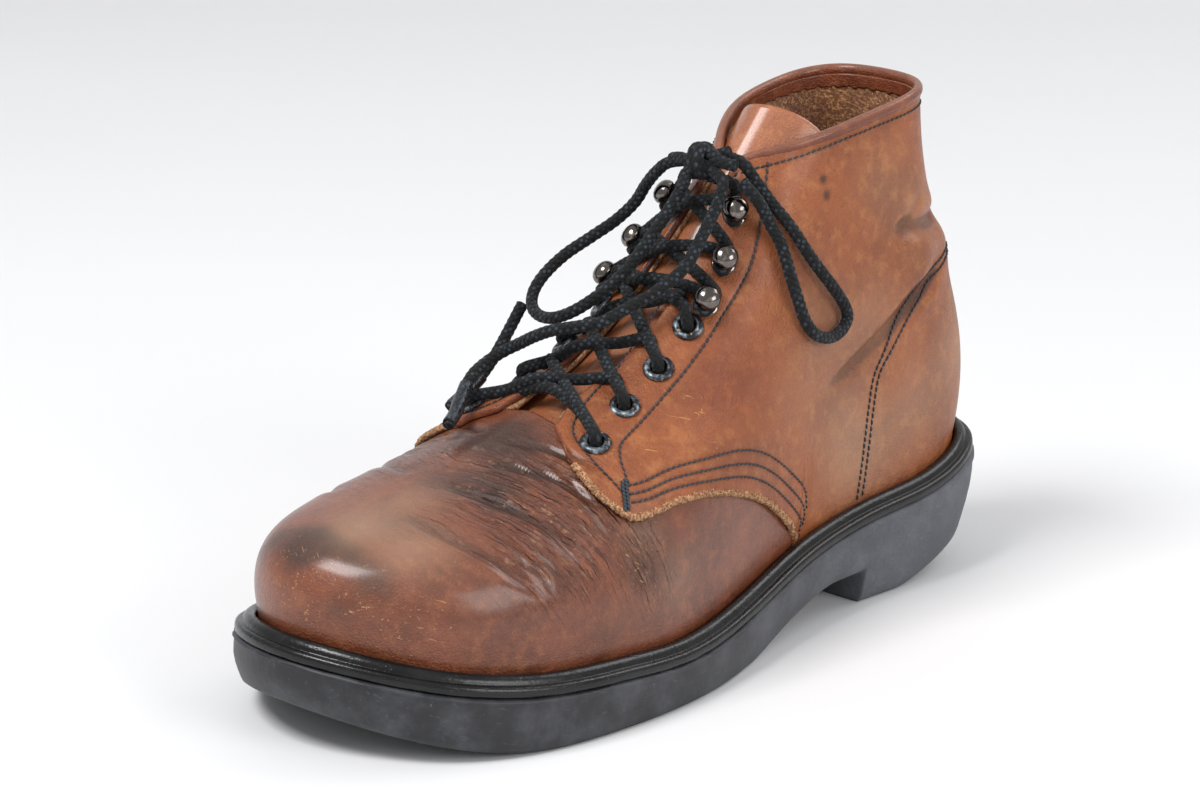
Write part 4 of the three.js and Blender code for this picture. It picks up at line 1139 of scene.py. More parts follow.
def build_collar():
    """Rolled edge of the collar, a flattened bead along the top, and the tape inside it."""
    side = np.linspace(-6.75, 6.75, 330)
    a = side % STATIONS
    edge = form(a, facing_height(a))
    inward = -normal(a, np.full(a.shape, 0.97))
    inward[:, 2] = 0
    inward = unit(inward)
    centre = edge + inward * 0.9 - UP * 1.1
    angle = np.linspace(0, 2 * np.pi, 18, endpoint=False)
    end = 1 - 0.35 * smooth((np.abs(side) - 6.5) / 0.25)
    bead = centre[:, None, :] + (-inward[:, None, :] * (ROLL_ACROSS * np.cos(angle))[None, :, None]
                                 + UP * (ROLL_HIGH * np.sin(angle))[None, :, None]) * end[:, None, None]
    pale = unmarked(bead)
    # Painted highlight: the upper half of the roll is made paler.
    pale[..., PALE] = 0.35 * np.clip(np.sin(angle), 0, 1)[None, :]
    roll = grid_piece("collar_roll", bead, [look("rim")], close_columns=True, marks=pale)
    outward_faces(roll, True)
    finish(roll, "upper_leather")
    drop = np.linspace(0, 1, 10)
    grid_a, h = np.broadcast_arrays(a[:, None], (0.985 - TAPE_DEPTH * drop)[None, :])
    tape, _ = leather(grid_a, h, 0 * grid_a - 2.3)
    fray = 0.5 * np.sin(side * 23.0) * np.sin(side * 7.1)
    tape[..., 2] += fray[:, None] * drop[None, :]
    sheet("collar_tape", tape[::-1], ("rim", "rim", "raw"), 0.8, marks=unmarked(tape))


# The tongue, mm: depth under the last, half width, length of the free part, length over which its top is
# rounded, how far the round lies to the side, how far the sides bend back, and how blunt the bend is.
TONGUE_DEPTH = -4.6
TONGUE_HALF = 21.0
TONGUE_TOP = 65.0
TONGUE_ROUND = 33.0
TONGUE_LOBE = 1.5
TONGUE_BEND = 21.0
TONGUE_CROWN = 0.5
TONGUE_LEAN = (0, 0.645, 0.765)
TONGUE_BOW = (1 + TONGUE_CROWN) ** 0.65 - TONGUE_CROWN ** 0.65


def build_tongue():
    """Tongue: on the form under the facings, then standing straight on behind the collar's front, its
    sides brought level with its middle and bent back as (x^2 + crown)^0.65, its top rounded as a circle."""
    side = np.linspace(10.75, 8.2, 46)
    u = np.linspace(-1, 1, 41)
    half = TONGUE_HALF * np.where(side > 10, 0.8 + 0.2 * smooth((10.4 - side) / 0.4), 1)
    reach = np.abs(u)[None, :] * half[:, None]
    a = np.where(u[None, :] >= 0, side[:, None], STATIONS - side[:, None])
    h = height_at(a, np.maximum(reach, 0.05))
    h = np.where(np.abs(u)[None, :] < 1e-6, 1.0, h)
    rows = form(a, h) + normal(a, h) * TONGUE_DEPTH
    last = rows[-1]
    centre = last[20]
    across = np.abs(last[:, 0] - centre[0]) / TONGUE_HALF
    lobe = np.abs(last[:, 0] - centre[0] - TONGUE_LOBE) / TONGUE_HALF
    length = TONGUE_TOP - TONGUE_ROUND * (1 - np.sqrt(1 - np.clip(lobe, 0, 1) ** 2))
    rise = np.linspace(0, 1, 52)[1:, None] * length[None, :]
    level = (centre[2] - last[:, 2])[None, :] / TONGUE_LEAN[2] * smooth(rise / 35)
    stand = last[None] + np.array(TONGUE_LEAN) * (rise + level)[..., None]
    bow = ((across ** 2 + TONGUE_CROWN) ** 0.65 - TONGUE_CROWN ** 0.65) / TONGUE_BOW
    stand[..., 1] += TONGUE_BEND * bow[None, :] * smooth(rise / 26)
    grid = np.concatenate([rows, stand])
    for _ in range(3):
        grid[1:-1] = (grid[:-2] + 2 * grid[1:-1] + grid[2:]) / 4
        grid[:, 1:-1] = (grid[:, :-2] + 2 * grid[:, 1:-1] + grid[:, 2:]) / 4
    marks = unmarked(grid)
    marks[..., PALE] = 0.25
    sheet("tongue_leather", grid, ("tongue", "suede", "raw"), 1.9, ["tongue"], "tongue_leather", marks=marks,
          merge=0.02, flip=True)


# ---- stitching ----------------------------------------------------------------------------------
def stitch_mesh(name, rows, pitch, length, width, lift=0.0, slant=0.16):
    """Stitches: small rounded bars laid end to end along each row, sunk at both ends. Each is wide as
    sqrt(1 - |x|^3) along its length and stands a little slantwise in its row."""
    found = []
    for row in rows:
        a, h = rounded(row, 20).T
        h = np.clip(h, -0.02, 1)
        point, _ = leather(a, h, quarter_lift(a, h))
        s = travelled(point)
        at = np.arange(pitch / 2, s[-1], pitch)
        found.append([read_at(at, s, point), unit(read_at(at, s, np.gradient(point, axis=0))),
                      unit(read_at(at, s, normal(a, h)))])
    c, t, n = (np.concatenate(part) for part in zip(*found))
    b = unit(np.cross(n, t))
    t, b = t + slant * b, b - slant * t
    rings, sides = 7, 6
    x = np.linspace(-1, 1, rings)[:, None]
    swell = np.sqrt(np.clip(1 - np.abs(x) ** 3, 0.02, 1))
    angle = np.linspace(0, 2 * np.pi, sides, endpoint=False)[None]
    bar = np.broadcast_arrays(x * length / 2, np.cos(angle) * swell * width / 2,
                              np.sin(angle) * swell * width * 0.55 + lift - 0.5 * x ** 4 * width)
    x, y, z = (v.reshape(1, -1, 1) for v in bar)
    points = c[:, None] + x * t[:, None] + y * b[:, None] + z * n[:, None]
    quads = grid_faces(rings, sides, close_columns=True)
    faces = (quads[None] + rings * sides * np.arange(len(c))[:, None, None]).reshape(-1, 4)
    piece = make_mesh(name, points.reshape(-1, 3), faces, [look("thread")])
    finish(outward_faces(piece, True), "lace_cord")


def build_stitching():
    """All rows of stitches, and the bar tacks at the facings' corners."""
    sewing = bpy.context.scene.boot_sewing
    stitch_mesh("stitching", stitch_rows(), sewing.pitch, sewing.length, sewing.width)
    tacks = [TACK, [(a - 0.05, h) for a, h in TACK]]
    tacks += [other_side(row) for row in tacks]
    stitch_mesh("corner_tacks", tacks, 1.3, 1.9, 0.9, 0.3, 0.5)


# ---- the sole -----------------------------------------------------------------------------------
# Rise of the toe and where it starts, the heel's front face, the arch's stretch and height, all mm; a point
# and the direction of the worn place at the back of the heel, and its slope.
TOE_SPRING = 16.0
SPRING_START = -84.0
BREAST = 72.0
ARCH_SPAN = (2.0, 58.0)
ARCH_HIGH = 11.3
WEAR_LINE = (30.0, 98.0)
WEAR_TOWARDS = (0.5, 0.87)
WEAR_SLOPE = 0.32


def underside(x, y, arched=True):
    """Height of the sole's underside: flat, the toe spring, the arch up to the heel's front face and the
    slanted worn place under the back of the heel."""
    spring = TOE_SPRING * np.clip((SPRING_START - y) / (150 + SPRING_START), 0, 1) ** 2.2
    vault = smooth((y - ARCH_SPAN[0]) / (ARCH_SPAN[1] - ARCH_SPAN[0]))
    arch = arched * ARCH_HIGH * vault * (1 - smooth((y - BREAST) / 1.6))
    past = (x - WEAR_LINE[0]) * WEAR_TOWARDS[0] + (y - WEAR_LINE[1]) * WEAR_TOWARDS[1]
    worn = WEAR_SLOPE * 0.5 * (past + np.sqrt(past ** 2 + 9))
    return np.maximum(spring + arch, worn * smooth((y - 80) / 20))


def ring_stations():
    """Stations round the foot, close together at the heel breast on both sides."""
    half = np.concatenate([np.linspace(0, 4.15, 60, endpoint=False),
                           np.linspace(4.15, 4.4, 16, endpoint=False), np.linspace(4.4, TOE_STATION, 150)])
    return np.concatenate([half, STATIONS - half[-2:0:-1]])


# The outsole's wall from the ground up: share of the height, distance out, and what the toe and the waist
# add to that distance, all in mm but the first. The wall is rough at its moulded lip.
WALL = np.array([
    (0.0, -3.4, -2.0, -1.0), (0.0, -2.2, -2.0, -1.0), (0.015, -1.3, -1.8, -0.97), (0.06, -0.55, -1.7, -0.92),
    (0.13, -0.15, -1.6, -0.84), (0.25, 0.2, -1.2, -0.7), (0.42, 0.42, -0.5, -0.45), (0.6, 0.45, 0.0, -0.2),
    (0.76, 0.35, 0.0, -0.05), (0.86, 0.2, 0.0, 0), (0.90, 0.15, 0.0, 0), (0.925, 0.6, 0.0, 0),
    (0.955, 0.55, 0.0, 0), (0.975, 0.0, 0.0, 0), (1.0, -0.45, 0.0, 0),
])
ROUGH_ROWS = (11, 12)


def build_outsole():
    """Outsole: a wall carried round the foot from a rounded lower edge to the joint with the welt, and
    a bottom laid across it from side to side."""
    a = ring_stations()
    out = outward(a)
    edge = feather(a) + out * WELT_WIDTH - UP * (WELT_DEPTH + GAP)
    toe = smooth((from_heel(a) - 11) / 2.5)
    taper = 4 * (1 - smooth((from_heel(a) - 6) / 2.5))
    rng = np.random.default_rng(3)
    rag = np.convolve(rng.normal(0, 1, len(a)), np.ones(3) / 3, "same")
    foot = edge + out * (-2.4 - 2 * toe - taper)[:, None]
    bottom = underside(foot[:, 0], foot[:, 1])
    ground = underside(foot[:, 0], foot[:, 1], False)
    rows = []
    for k, (t, distance, _, _) in enumerate(WALL):
        z = bottom + (edge[:, 2] - bottom) * t
        share = np.clip((z - ground) / (edge[:, 2] - ground), 0, 1)
        at_toe, at_waist = (np.interp(share, WALL[2:, 0], column) for column in WALL[2:, 2:].T)
        upper = np.interp(share, WALL[4:, 0], WALL[4:, 1])
        bulge = distance + (upper - distance) * smooth((t - 0.05) / 0.1)
        rough = rag if k in ROUGH_ROWS else 0 * rag
        p = edge + out * (bulge + at_toe * toe + at_waist * taper + 0.22 * rough)[:, None]
        p[:, 2] = z + 0.15 * rough
        rows.append(p)
    wall = np.stack(rows, 1)
    n = len(a)
    half = n // 2

    def across(row, count):
        """Level lines from one side of the wall's row to the other."""
        left, right = wall[:half + 1, row], wall[(n - np.arange(half + 1)) % n, row]
        return left[:, None] + (right - left)[:, None] * np.linspace(0, 1, count)[None, :, None]
    floor, lid = across(0, 40), across(-1, 6)
    t = np.linspace(0, 1, 40)
    depth = tread(floor) * smooth(np.minimum(t, 1 - t) / 0.06)[None]
    floor[..., 2] = underside(floor[..., 0], floor[..., 1]) + depth
    points, faces = joined([(wall, grid_faces(n, len(WALL), close_rows=True)),
                            (floor, grid_faces(half + 1, 40)), (lid, grid_faces(half + 1, 6)[:, ::-1])])
    piece = make_mesh("outsole_rubber", points, faces, [look("outsole")], merge=0.01)
    finish(outward_faces(piece), "sole_rubber", "outsole")


def tread(p):
    """Shallow grooves across the sole: 1.6 mm deep, every 11 mm, broken by a plain waist."""
    x, y = p[..., 0], p[..., 1]
    phase = (y + 0.0035 * (x - 2) ** 2) / 11.0
    groove = smooth((np.abs((phase % 1) - 0.5) - 0.36) / 0.06)
    waist = smooth((y - ARCH_SPAN[0] + 8) / 4) * (1 - smooth((y - BREAST - 4) / 3))
    return 1.6 * groove * (1 - waist)


# Outline of the welt's section as (distance out of the feather line, height over it), mm
WELT_SECTION = [(0.35, -5.5), (6.6, -5.5), (6.95, -5.2), (7.0, -4.4), (6.95, -3.6), (6.8, -3.0), (6.45, -2.5),
                (5.9, -2.25), (5.3, -2.2), (4.95, -2.35), (4.75, -2.3), (4.6, -1.9), (4.4, -1.3), (4.0, -0.7),
                (3.5, -0.2), (2.9, 0.12), (2.2, 0.25), (1.5, 0.1), (0.85, -0.4), (0.4, -1.5)]


def build_welt():
    """Welt: bead against the upper, a groove, then the outer step, carried round the foot."""
    a = ring_stations()
    foot, out = feather(a), outward(a)
    grid = np.stack([foot + out * n + UP * z for n, z in WELT_SECTION], 1)
    piece = grid_piece("welt_rubber", grid, [look("welt")], close_rows=True, close_columns=True)
    finish(outward_faces(piece), "welt_rubber", "welt")


def build_insole():
    """The insole keeps its solid and takes the suede finish."""
    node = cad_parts["insole"]
    node.data.materials.clear()
    node.data.materials.append(look("insole"))


# ---- eyelets and hooks --------------------------------------------------------------------------
def turned_ring(profile, centre, out, side, sides=32):
    """A closed profile of (radius, height) turned about the direction out of the leather."""
    angle = np.linspace(0, 2 * np.pi, sides, endpoint=False)
    r, z = np.array(profile, float).T
    radial = circles(side[None], np.cross(out, side)[None], angle)[0]
    return centre + radial[:, None, :] * r[None, :, None] + out * z[None, :, None]


# Sections of the turned pieces as (radius, height over the leather), mm
EYELET_SECTION = [(2.45, -2.6), (2.95, -2.6), (2.95, 0.2), (3.3, 0.35), (4.85, 0.3), (4.9, 0.55), (4.6, 0.95),
                  (4.0, 1.3), (3.4, 1.4), (2.85, 1.2), (2.5, 0.7), (2.42, 0.0)]
HOOK_FOOT = [(0.0, 0.4), (3.5, 0.4), (3.9, 0.6), (4.0, 0.9), (3.7, 1.25), (2.6, 1.5), (0.0, 1.6)]
HOOK_NECK = [(0.0, 1.2), (1.5, 1.2), (1.25, 2.2), (1.25, 4.6), (1.6, 5.6), (0.0, 5.6)]
HOOK_HEAD = [(0.0, 5.0), (2.8, 4.95), (3.8, 5.1), (4.15, 5.5), (4.2, 6.1), (4.0, 7.0), (3.4, 7.95),
             (2.5, 8.65), (1.3, 9.05), (0.0, 9.15)]
NECK_SHIFT = 1.6


def build_fasteners():
    """Eyelets: a rolled ring and its barrel. Hooks: foot, neck on the throat side and a domed head."""
    for inner, i, station, h in fastener_places():
        centre, out, throat = fastener_axes(station, h)
        eyelet = i < len(EYELETS)
        number = f"{SIDES[inner]}_{i + 1 if eyelet else i - len(EYELETS) + 1}"
        if eyelet:
            parts = [turned_ring(EYELET_SECTION, centre, out, throat)]
            name, node, slot, kind = "eyelet_ring_", "eyelet_", "eyelet_metal", "enamel"
        else:
            parts = [turned_ring(HOOK_FOOT, centre, out, throat),
                     turned_ring(HOOK_NECK, centre + throat * NECK_SHIFT, out, throat, 20),
                     turned_ring(HOOK_HEAD, centre, out, throat)]
            name, node, slot, kind = "hook_stud_", "hook_", "hook_metal", "gunmetal"
        points, faces = joined([(part, grid_faces(*part.shape[:2], True, eyelet)) for part in parts])
        piece = make_mesh(name + number, points, faces, [look(kind)], merge=0.005)
        finish(outward_faces(piece), slot, node + number)


# ---- lace ---------------------------------------------------------------------------------------
LACE_RADIUS = 1.95
TIP_RADIUS = 2.32
# Middle lines of the free stretches, mm
KNOT = np.array([8.0, 21.5, 152.0])
LOOP_OUTER = [
    (19.5, 28, 151.5), (22, 31.5, 145.5), (26, 35, 138.5), (29.5, 37, 134), (32.2, 38.8, 129.8),
    (34.8, 42, 123.5), (36.8, 45.8, 117.7), (38, 51, 111.5), (38.3, 56, 105.5), (38.4, 58, 101),
    (38.8, 55.5, 97.6), (39.4, 50.5, 96), (39.9, 44.5, 96.7), (40.2, 39, 99.5), (39.4, 35.5, 104.5),
    (38, 34, 110.3), (36.5, 33.5, 114.5), (34.9, 33.2, 118.7), (33, 33, 123.5), (30.8, 32.5, 128.6),
    (28.8, 31.2, 132.5), (27.8, 29.2, 136.8), (26.8, 26, 142), (22.8, 23, 147.5),
]
LOOP_INNER = [
    (-4, 19.5, 150), (-9, 19, 146.5), (-14, 19.3, 141.3), (-18, 18.5, 135), (-21.8, 13.8, 129.2),
    (-26.2, 7.1, 124), (-30, -1, 118.8), (-31.8, -8.5, 113.2), (-31.5, -13.5, 108.5),
    (-28.5, -17, 104.8), (-22.5, -19.5, 103.4), (-15, -20.5, 104.4), (-7.5, -19, 108),
    (-1.5, -14.4, 113.4), (2, -9.8, 118.4), (3.8, -5.2, 123.2), (4.8, -0.8, 128.2), (5.8, 3.5, 133.2),
    (6.5, 7.8, 138.2), (7.2, 12, 143.5),
]
END_ONE = [
    (18.5, 19, 147.5), (19.4, 17, 142.5), (19.6, 13.5, 137.6), (20.2, 7.2, 130.6), (20.5, 1.8, 124.6),
    (19.1, -3.8, 120), (16.8, -9.2, 116.4), (14.2, -14, 113.6), (11.4, -19.8, 110.6),
    (8.5, -25, 108), (2.5, -30, 106.4), (-4.5, -32.5, 104.4), (-11.5, -33, 101.3), (-18, -32.8, 97.8),
    (-22.5, -35, 95), (-25, -40, 92), (-24.4, -47.5, 88.8), (-21.2, -54.8, 84.4),
    (-17.8, -61, 80.8), (-14.9, -66.8, 79),
]
END_TWO = [
    (-36.5, -13.5, 103.5), (-36, -17.5, 99.3), (-35.2, -22, 95), (-34.4, -26.6, 90.8),
    (-33.8, -31, 87.2), (-33.4, -35.5, 84), (-33.3, -40, 81.3), (-33.2, -44.5, 79), (-32.8, -49, 77.2),
]


def build_crossings():
    """The laced part: out of each eyelet, over the facing's edge and across to dive under the opposite
    facing a step higher, then from hook to hook, each turn lying round the neck under the head."""
    axes = {(inner, i): fastener_axes(station, h) for inner, i, station, h in fastener_places()}

    def at(inner, i, lift, across):
        """Point so many mm over fastener i and towards the throat from it."""
        centre, out, throat = axes[inner, i]
        return centre + out * lift + throat * across
    ahead = unit(np.array([0.0, -0.62, 0.78]))
    parts = []

    def strand(points):
        parts.append(braid_tube(points, LACE_RADIUS)[1:])
    strand([at(True, 0, -3.0, 0), at(True, 0, -3.6, 5), at(True, 0, -1.2, 13),
            (at(True, 0, 0.6, 20) + at(False, 0, 0.6, 20)) / 2,
            at(False, 0, -1.2, 13), at(False, 0, -3.6, 5), at(False, 0, -3.0, 0)])
    for i in range(3):
        for inner in (False, True):
            over = 2.4 if inner else 0.2
            start, end = at(inner, i, 3.0, 2.0), at(not inner, i + 1, 1.6, 11.0)
            between = [start + (end - start) * t + ahead * lift
                       for t, lift in ((0.25, 0.8), (0.5, 1.6 + over), (0.78, 1.0))]
            strand([at(inner, i, -2.4, -0.3), at(inner, i, 0.9, 0.2), start, *between, end,
                    at(not inner, i + 1, -1.5, 8.3), at(not inner, i + 1, -3.6, 5.5)])
    for inner in (False, True):
        lean = 1.0 if inner else 0.0
        points = [at(inner, 3, lift, across)
                  for lift, across in ((-2.2, 0), (1.2, 0.3), (3.4, 2.6), (3.6, 6.0))]
        side = inner
        for k in (4, 5, 6):
            other = not side
            down = unit(axes[other, k - 1][0] - axes[other, k][0])
            points += [(at(side, k - 1, 3.5, 6) + at(other, k, 3.5, 6)) / 2 + ahead * (1.0 + 2.4 * lean),
                       at(other, k, 3.2, 6.0) + down * 2.4, at(other, k, 3.1, 1.6) + down * 3.7,
                       at(other, k, 3.1, -1.9) + down * 1.8, at(other, k, 3.1, -1.9) - down * 1.8,
                       at(other, k, 3.2, 1.6) - down * 3.7]
            side = other
            lean = 1.0 - lean
        down = unit(axes[side, 5][0] - axes[side, 6][0])
        strand([*points, at(side, 6, 4.2, 6.0) - down * 3.0, KNOT + (-3.0 if side else 3.0, 0, -4.5)])
    finish(tube_mesh("lace_laced", parts, [look("lace")]), "lace_cord", "lace_crossings")


def build_knot():
    """The bow's knot: a turn of cord round the crossing strands and the folds of both loops."""
    across = unit(np.array([1.0, 0.12, 0.1]))
    ahead = unit(np.array([0.0, -0.75, 0.66]))
    along = np.cross(across, ahead)

    def path(points):
        """Points given as distances across, ahead and along from the middle of the knot."""
        return [KNOT + across * x + ahead * y + along * z for x, y, z in points]
    turns = np.linspace(-0.2, 1.45, 14) * 2 * np.pi
    wrap = path([(-1.6 + 3.6 * i / 13, 4.4 * np.cos(t), 4.2 * np.sin(t)) for i, t in enumerate(turns)])
    left = path([(-12, 0, -0.5), (-8, 1.2, 0), (-3, 2.2, 1.6), (2, 0.6, 2.0), (6, -1.5, 1.0)])
    right = path([(13, 0, 1.5), (8, 1.0, 0.8), (3, 1.8, -1.8), (-2, 0.4, -2.2), (-6, -1.5, -1.0)])
    drop = path([(9, 0.5, -3.4), (4, 0, -2.0), (0, -1.5, -2.4), (-4, -0.6, -3.6)])
    drop.append(KNOT + (-0.8, -9.5, -8.5))
    parts = [braid_tube(points, LACE_RADIUS)[1:] for points in (wrap, left, right, drop)]
    return finish(tube_mesh("lace_bow_knot", parts, [look("lace")]), "lace_cord", "lace_knot")


def tip_piece(name, points, length):
    """Lacquered tip: the last length of an end, smooth, a little thinner and rounded off."""
    path = evenly(points, 0.5)
    s = travelled(path)
    path = path[s > s[-1] - length]
    s = travelled(path)
    u = np.arange(20) / 20
    r = TIP_RADIUS - 0.25 * smooth(s / length) - 0.9 * smooth((s - s[-1] + 1.2) / 1.2) ** 2
    rough = 0.07 * np.sin(5 * 2 * np.pi * u)[None, :] * np.sin(s / 1.7)[:, None]
    ring = circles(*cross_directions(path), 2 * np.pi * u)
    grid = path[:, None, :] + ring * (r[:, None] + rough)[..., None]
    uv = np.stack(np.broadcast_arrays(u[None, :], s[:, None]), -1)
    return finish(tube_mesh(name, [(grid, uv)], [look("tip")]), "lace_cord")


def free_cord(name, points, far_end, pieces, *tuck):
    """A free stretch of lace from its exit on. The tuck, given from the knot's middle, hides its start."""
    path, grid, uv = braid_tube([*(KNOT + step for step in tuck), *points], LACE_RADIUS)
    piece = finish(tube_mesh("lace_bow_" + name, [(grid, uv)], [look("lace")]), "lace_cord", "lace_" + name)


def build_bow():
    """Knot, two loops and two tipped ends."""
    knot = build_knot()
    tip_one = tip_piece("lace_tip_1", END_ONE, 20)
    tip_two = tip_piece("lace_tip_2", END_TWO, 16)
    free_cord("loop_outer", LOOP_OUTER, "object", [knot], (4.5, 2.5, 1.5), (8.0, 4.5, 1.3))
    free_cord("loop_inner", LOOP_INNER, "object", [], (-2.0, 0.0, 0.0))
    free_cord("end_1", END_ONE, "fitting", [tip_one], (3.5, -0.5, -2.0))
    free_cord("end_2", END_TWO, "fitting", [tip_two])


# ---- stage --------------------------------------------------------------------------------------
CAMERA_AZIMUTH, CAMERA_ELEVATION, CAMERA_ROLL = 44.75, 15.55, 0.47
CAMERA_DISTANCE = 1.093
CAMERA_SIDEWAYS, CAMERA_UPWARD = -0.03235, 0.02164
CAMERA_TARGET = (0, 0, 60.0)
CAMERA_FOCAL = 3131 / 1200
FRAME_SCALE = 1.1
FRAME_SHIFT = (0.0525, -0.0133)
SENSOR = 36
FLOOR_SIZE, FLOOR_RISE, FLOOR_BACK = 6.0, 3.0, 2.2
# Lamps: name, place, aim, size, power; metres and watts
LAMPS = [("key", (-0.15, -1.17, 1.74), (0, 0, 0.06), (0.85, 0.7), 34),
         ("fill", (1.9, 0.1, 0.9), (0, 0, 0.06), (1.0, 0.9), 16),
         ("back", (0.5, 1.5, 1.5), (0, 0, 0.08), (1.2, 0.6), 9)]
WORLD_COLOUR = (0.97, 0.98, 1.0, 1)


def build_camera():
    """Camera aimed by azimuth, elevation and roll, then moved a little in its own plane."""
    az, el, roll = (math.radians(v) for v in (CAMERA_AZIMUTH, CAMERA_ELEVATION, CAMERA_ROLL))
    back = np.array([math.sin(az) * math.cos(el), -math.cos(az) * math.cos(el), math.sin(el)])
    level = np.array([math.cos(az), math.sin(az), 0])
    upright = np.cross(back, level)
    right = math.cos(roll) * level + math.sin(roll) * upright
    up = -math.sin(roll) * level + math.cos(roll) * upright
    target = (np.array(CAMERA_TARGET) + SHIFT) * 0.001
    eye = target + back * CAMERA_DISTANCE + right * CAMERA_SIDEWAYS + up * CAMERA_UPWARD
    data = bpy.data.cameras.new("camera")
    data.sensor_width = SENSOR
    data.lens = SENSOR * CAMERA_FOCAL * FRAME_SCALE
    data.shift_x, data.shift_y = (FRAME_SCALE * v for v in FRAME_SHIFT)
    camera = bpy.data.objects.new("camera", data)
    bpy.context.scene.collection.objects.link(camera)
    camera.matrix_world = Matrix([[right[i], up[i], back[i], eye[i]] for i in range(3)] + [[0, 0, 0, 1]])
    bpy.context.scene.camera = camera


def build_floor():
    """Level ground that turns up behind the boot in a quarter circle, square to the camera."""
    bend = np.linspace(0, np.pi / 2, 16)[1:]
    x = np.linspace(-FLOOR_SIZE, FLOOR_SIZE, 3)[:, None]
    flat = FLOOR_BACK - 1
    y = np.concatenate([np.linspace(-FLOOR_SIZE, flat, 4), flat + np.sin(bend), [FLOOR_BACK]])
    z = np.concatenate([np.zeros(4), 1 - np.cos(bend), [FLOOR_RISE]])
    grid = np.stack(np.broadcast_arrays(x, y[None], z[None]), -1) * 1000
    az = math.radians(CAMERA_AZIMUTH)
    turn = np.array([[math.cos(az), math.sin(az)], [-math.sin(az), math.cos(az)]])
    grid[..., :2] = grid[..., :2] @ turn
    grid_piece("floor", grid, [look("floor")])


def build_stage():
    """Camera, floor, three lamps and the even light from all round."""
    build_camera()
    build_floor()
    scene = bpy.context.scene
    for name, place, aim, size, power in LAMPS:
        data = bpy.data.lights.new(name, "AREA")
        data.shape = "RECTANGLE"
        data.size, data.size_y = size
        data.energy = power * scene.boot_stage.lamp_strength
        lamp = bpy.data.objects.new(name, data)
        scene.collection.objects.link(lamp)
        direction = Vector(place) - Vector(aim)
        lamp.matrix_world = Matrix.Translation(place) @ direction.to_track_quat("Z", "Y").to_matrix().to_4x4()
    world = bpy.data.worlds.new("studio")
    world.use_nodes = True
    background = world.node_tree.nodes["Background"]
    background.inputs["Color"].default_value = WORLD_COLOUR
    background.inputs["Strength"].default_value = scene.boot_stage.world_strength
    scene.world = world
    scene.view_settings.view_transform = "Standard"


# ---- add-on -------------------------------------------------------------------------------------
class BootStageProperties(bpy.types.PropertyGroup):
    """Strength of the studio's lights."""
    lamp_strength: FloatProperty(name="Lamps", description="Strength of the three lamps, 1 as designed",
                                 default=1.0, min=0.0, max=4.0, subtype="FACTOR")
    world_strength: FloatProperty(name="World", description="Strength of the even light from all round",
                                  default=0.55, min=0.0, max=4.0)


class BootCordProperties(bpy.types.PropertyGroup):
    """Sizes of the braid's mesh."""
    ring_step: FloatProperty(name="Ring step", description="Distance between rings along a cord, mm",
                             default=0.6, min=0.2, max=2.0)
    weave_depth: FloatProperty(name="Weave depth", description="Height of the weave on a cord, mm",
                               default=0.13, min=0.0, max=0.5)


class BootSewingProperties(bpy.types.PropertyGroup):
    """Sizes of the stitches."""
    pitch: FloatProperty(name="Pitch", description="Distance from stitch to stitch, mm",
                         default=2.2, min=0.8, max=6.0)
    length: FloatProperty(name="Length", description="Length of one stitch, mm",
                          default=2.0, min=0.5, max=6.0)
    width: FloatProperty(name="Width", description="Width of the thread, mm",
                         default=0.62, min=0.2, max=1.5)


def colour_property(label, text):
    """A colour that the user can change."""
    return FloatVectorProperty(name=label, description=f"Main colour of the {label.lower()}", size=3,
                               default=rgb(text), min=0.0, max=1.0, subtype="COLOR")


class BootColourProperties(bpy.types.PropertyGroup):
    """Main colour of each material."""
    __annotations__ = {key: colour_property(*value) for key, value in COLOURS.items()}


SETTINGS = {"boot_stage": BootStageProperties, "boot_cord": BootCordProperties,
            "boot_sewing": BootSewingProperties, "boot_colours": BootColourProperties}


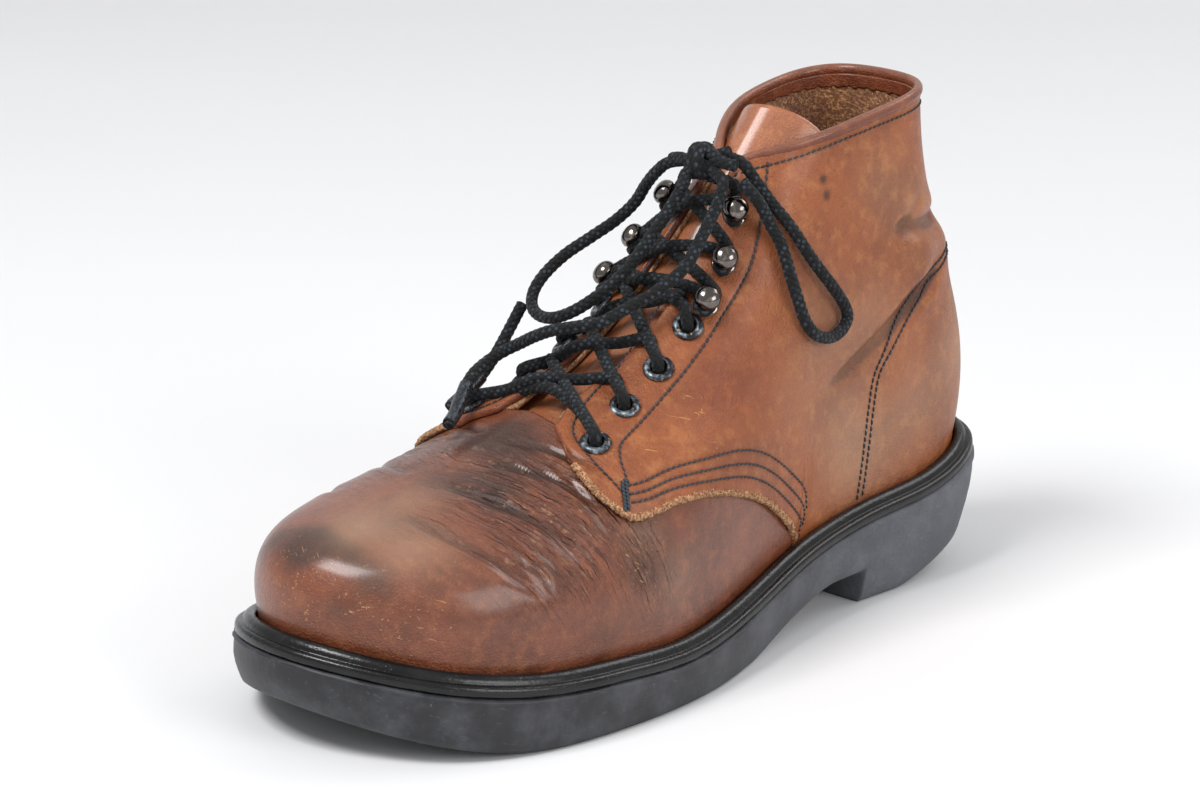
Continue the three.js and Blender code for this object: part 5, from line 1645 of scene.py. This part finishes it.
class BOOT_PT_pieces(bpy.types.Panel):
    """Buttons for every piece, with all the settings."""
    bl_idname = "BOOT_PT_pieces"
    bl_label = "Leather work boot"
    bl_space_type = "VIEW_3D"
    bl_region_type = "UI"
    bl_category = "Boot"

    def draw(self, context):
        scene = context.scene
        column = self.layout.column(align=True)
        for cls in OPERATORS:
            column.operator(cls.bl_idname)
        for group, cls in SETTINGS.items():
            for name in cls.__annotations__:
                column.prop(getattr(scene, group), name)


def operator(name, label, build):
    """An operator that builds one piece or one group of like pieces."""
    def execute(self, context):
        build()
        return {"FINISHED"}
    parts = {"bl_idname": f"boot.{name}", "bl_label": label, "__doc__": build.__doc__, "execute": execute}
    return type(f"BOOT_OT_{name}", (bpy.types.Operator,), parts)


PIECES = {
    "stage": ("Stage", build_stage), "vamp": ("Vamp", build_vamp), "quarters": ("Quarters", build_quarters),
    "facing_linings": ("Facing linings", build_facing_linings), "cut_edges": ("Cut edges", build_cut_edges),
    "collar": ("Collar", build_collar), "tongue": ("Tongue", build_tongue),
    "stitching": ("Stitching", build_stitching), "outsole": ("Outsole", build_outsole),
    "welt": ("Welt", build_welt), "insole": ("Insole", build_insole),
    "fasteners": ("Eyelets and hooks", build_fasteners), "crossings": ("Laced part", build_crossings),
    "bow": ("Bow", build_bow),
}
OPERATORS = [operator(name, *piece) for name, piece in PIECES.items()]
CLASSES = [*SETTINGS.values(), *OPERATORS, BOOT_PT_pieces]


def register():
    """Adds the classes and hangs the settings on the scene."""
    for cls in CLASSES:
        bpy.utils.register_class(cls)
    for name, cls in SETTINGS.items():
        setattr(bpy.types.Scene, name, PointerProperty(type=cls))


def unregister():
    """Takes away what register added."""
    for name in SETTINGS:
        delattr(bpy.types.Scene, name)
    for cls in reversed(CLASSES):
        bpy.utils.unregister_class(cls)


def main():
    """Builds every piece in order and writes the boxes of the solids and of the finished model."""
    register()
    for name in PIECES:
        getattr(bpy.ops.boot, name)()
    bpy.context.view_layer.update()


if __name__ == "__main__":
    main()
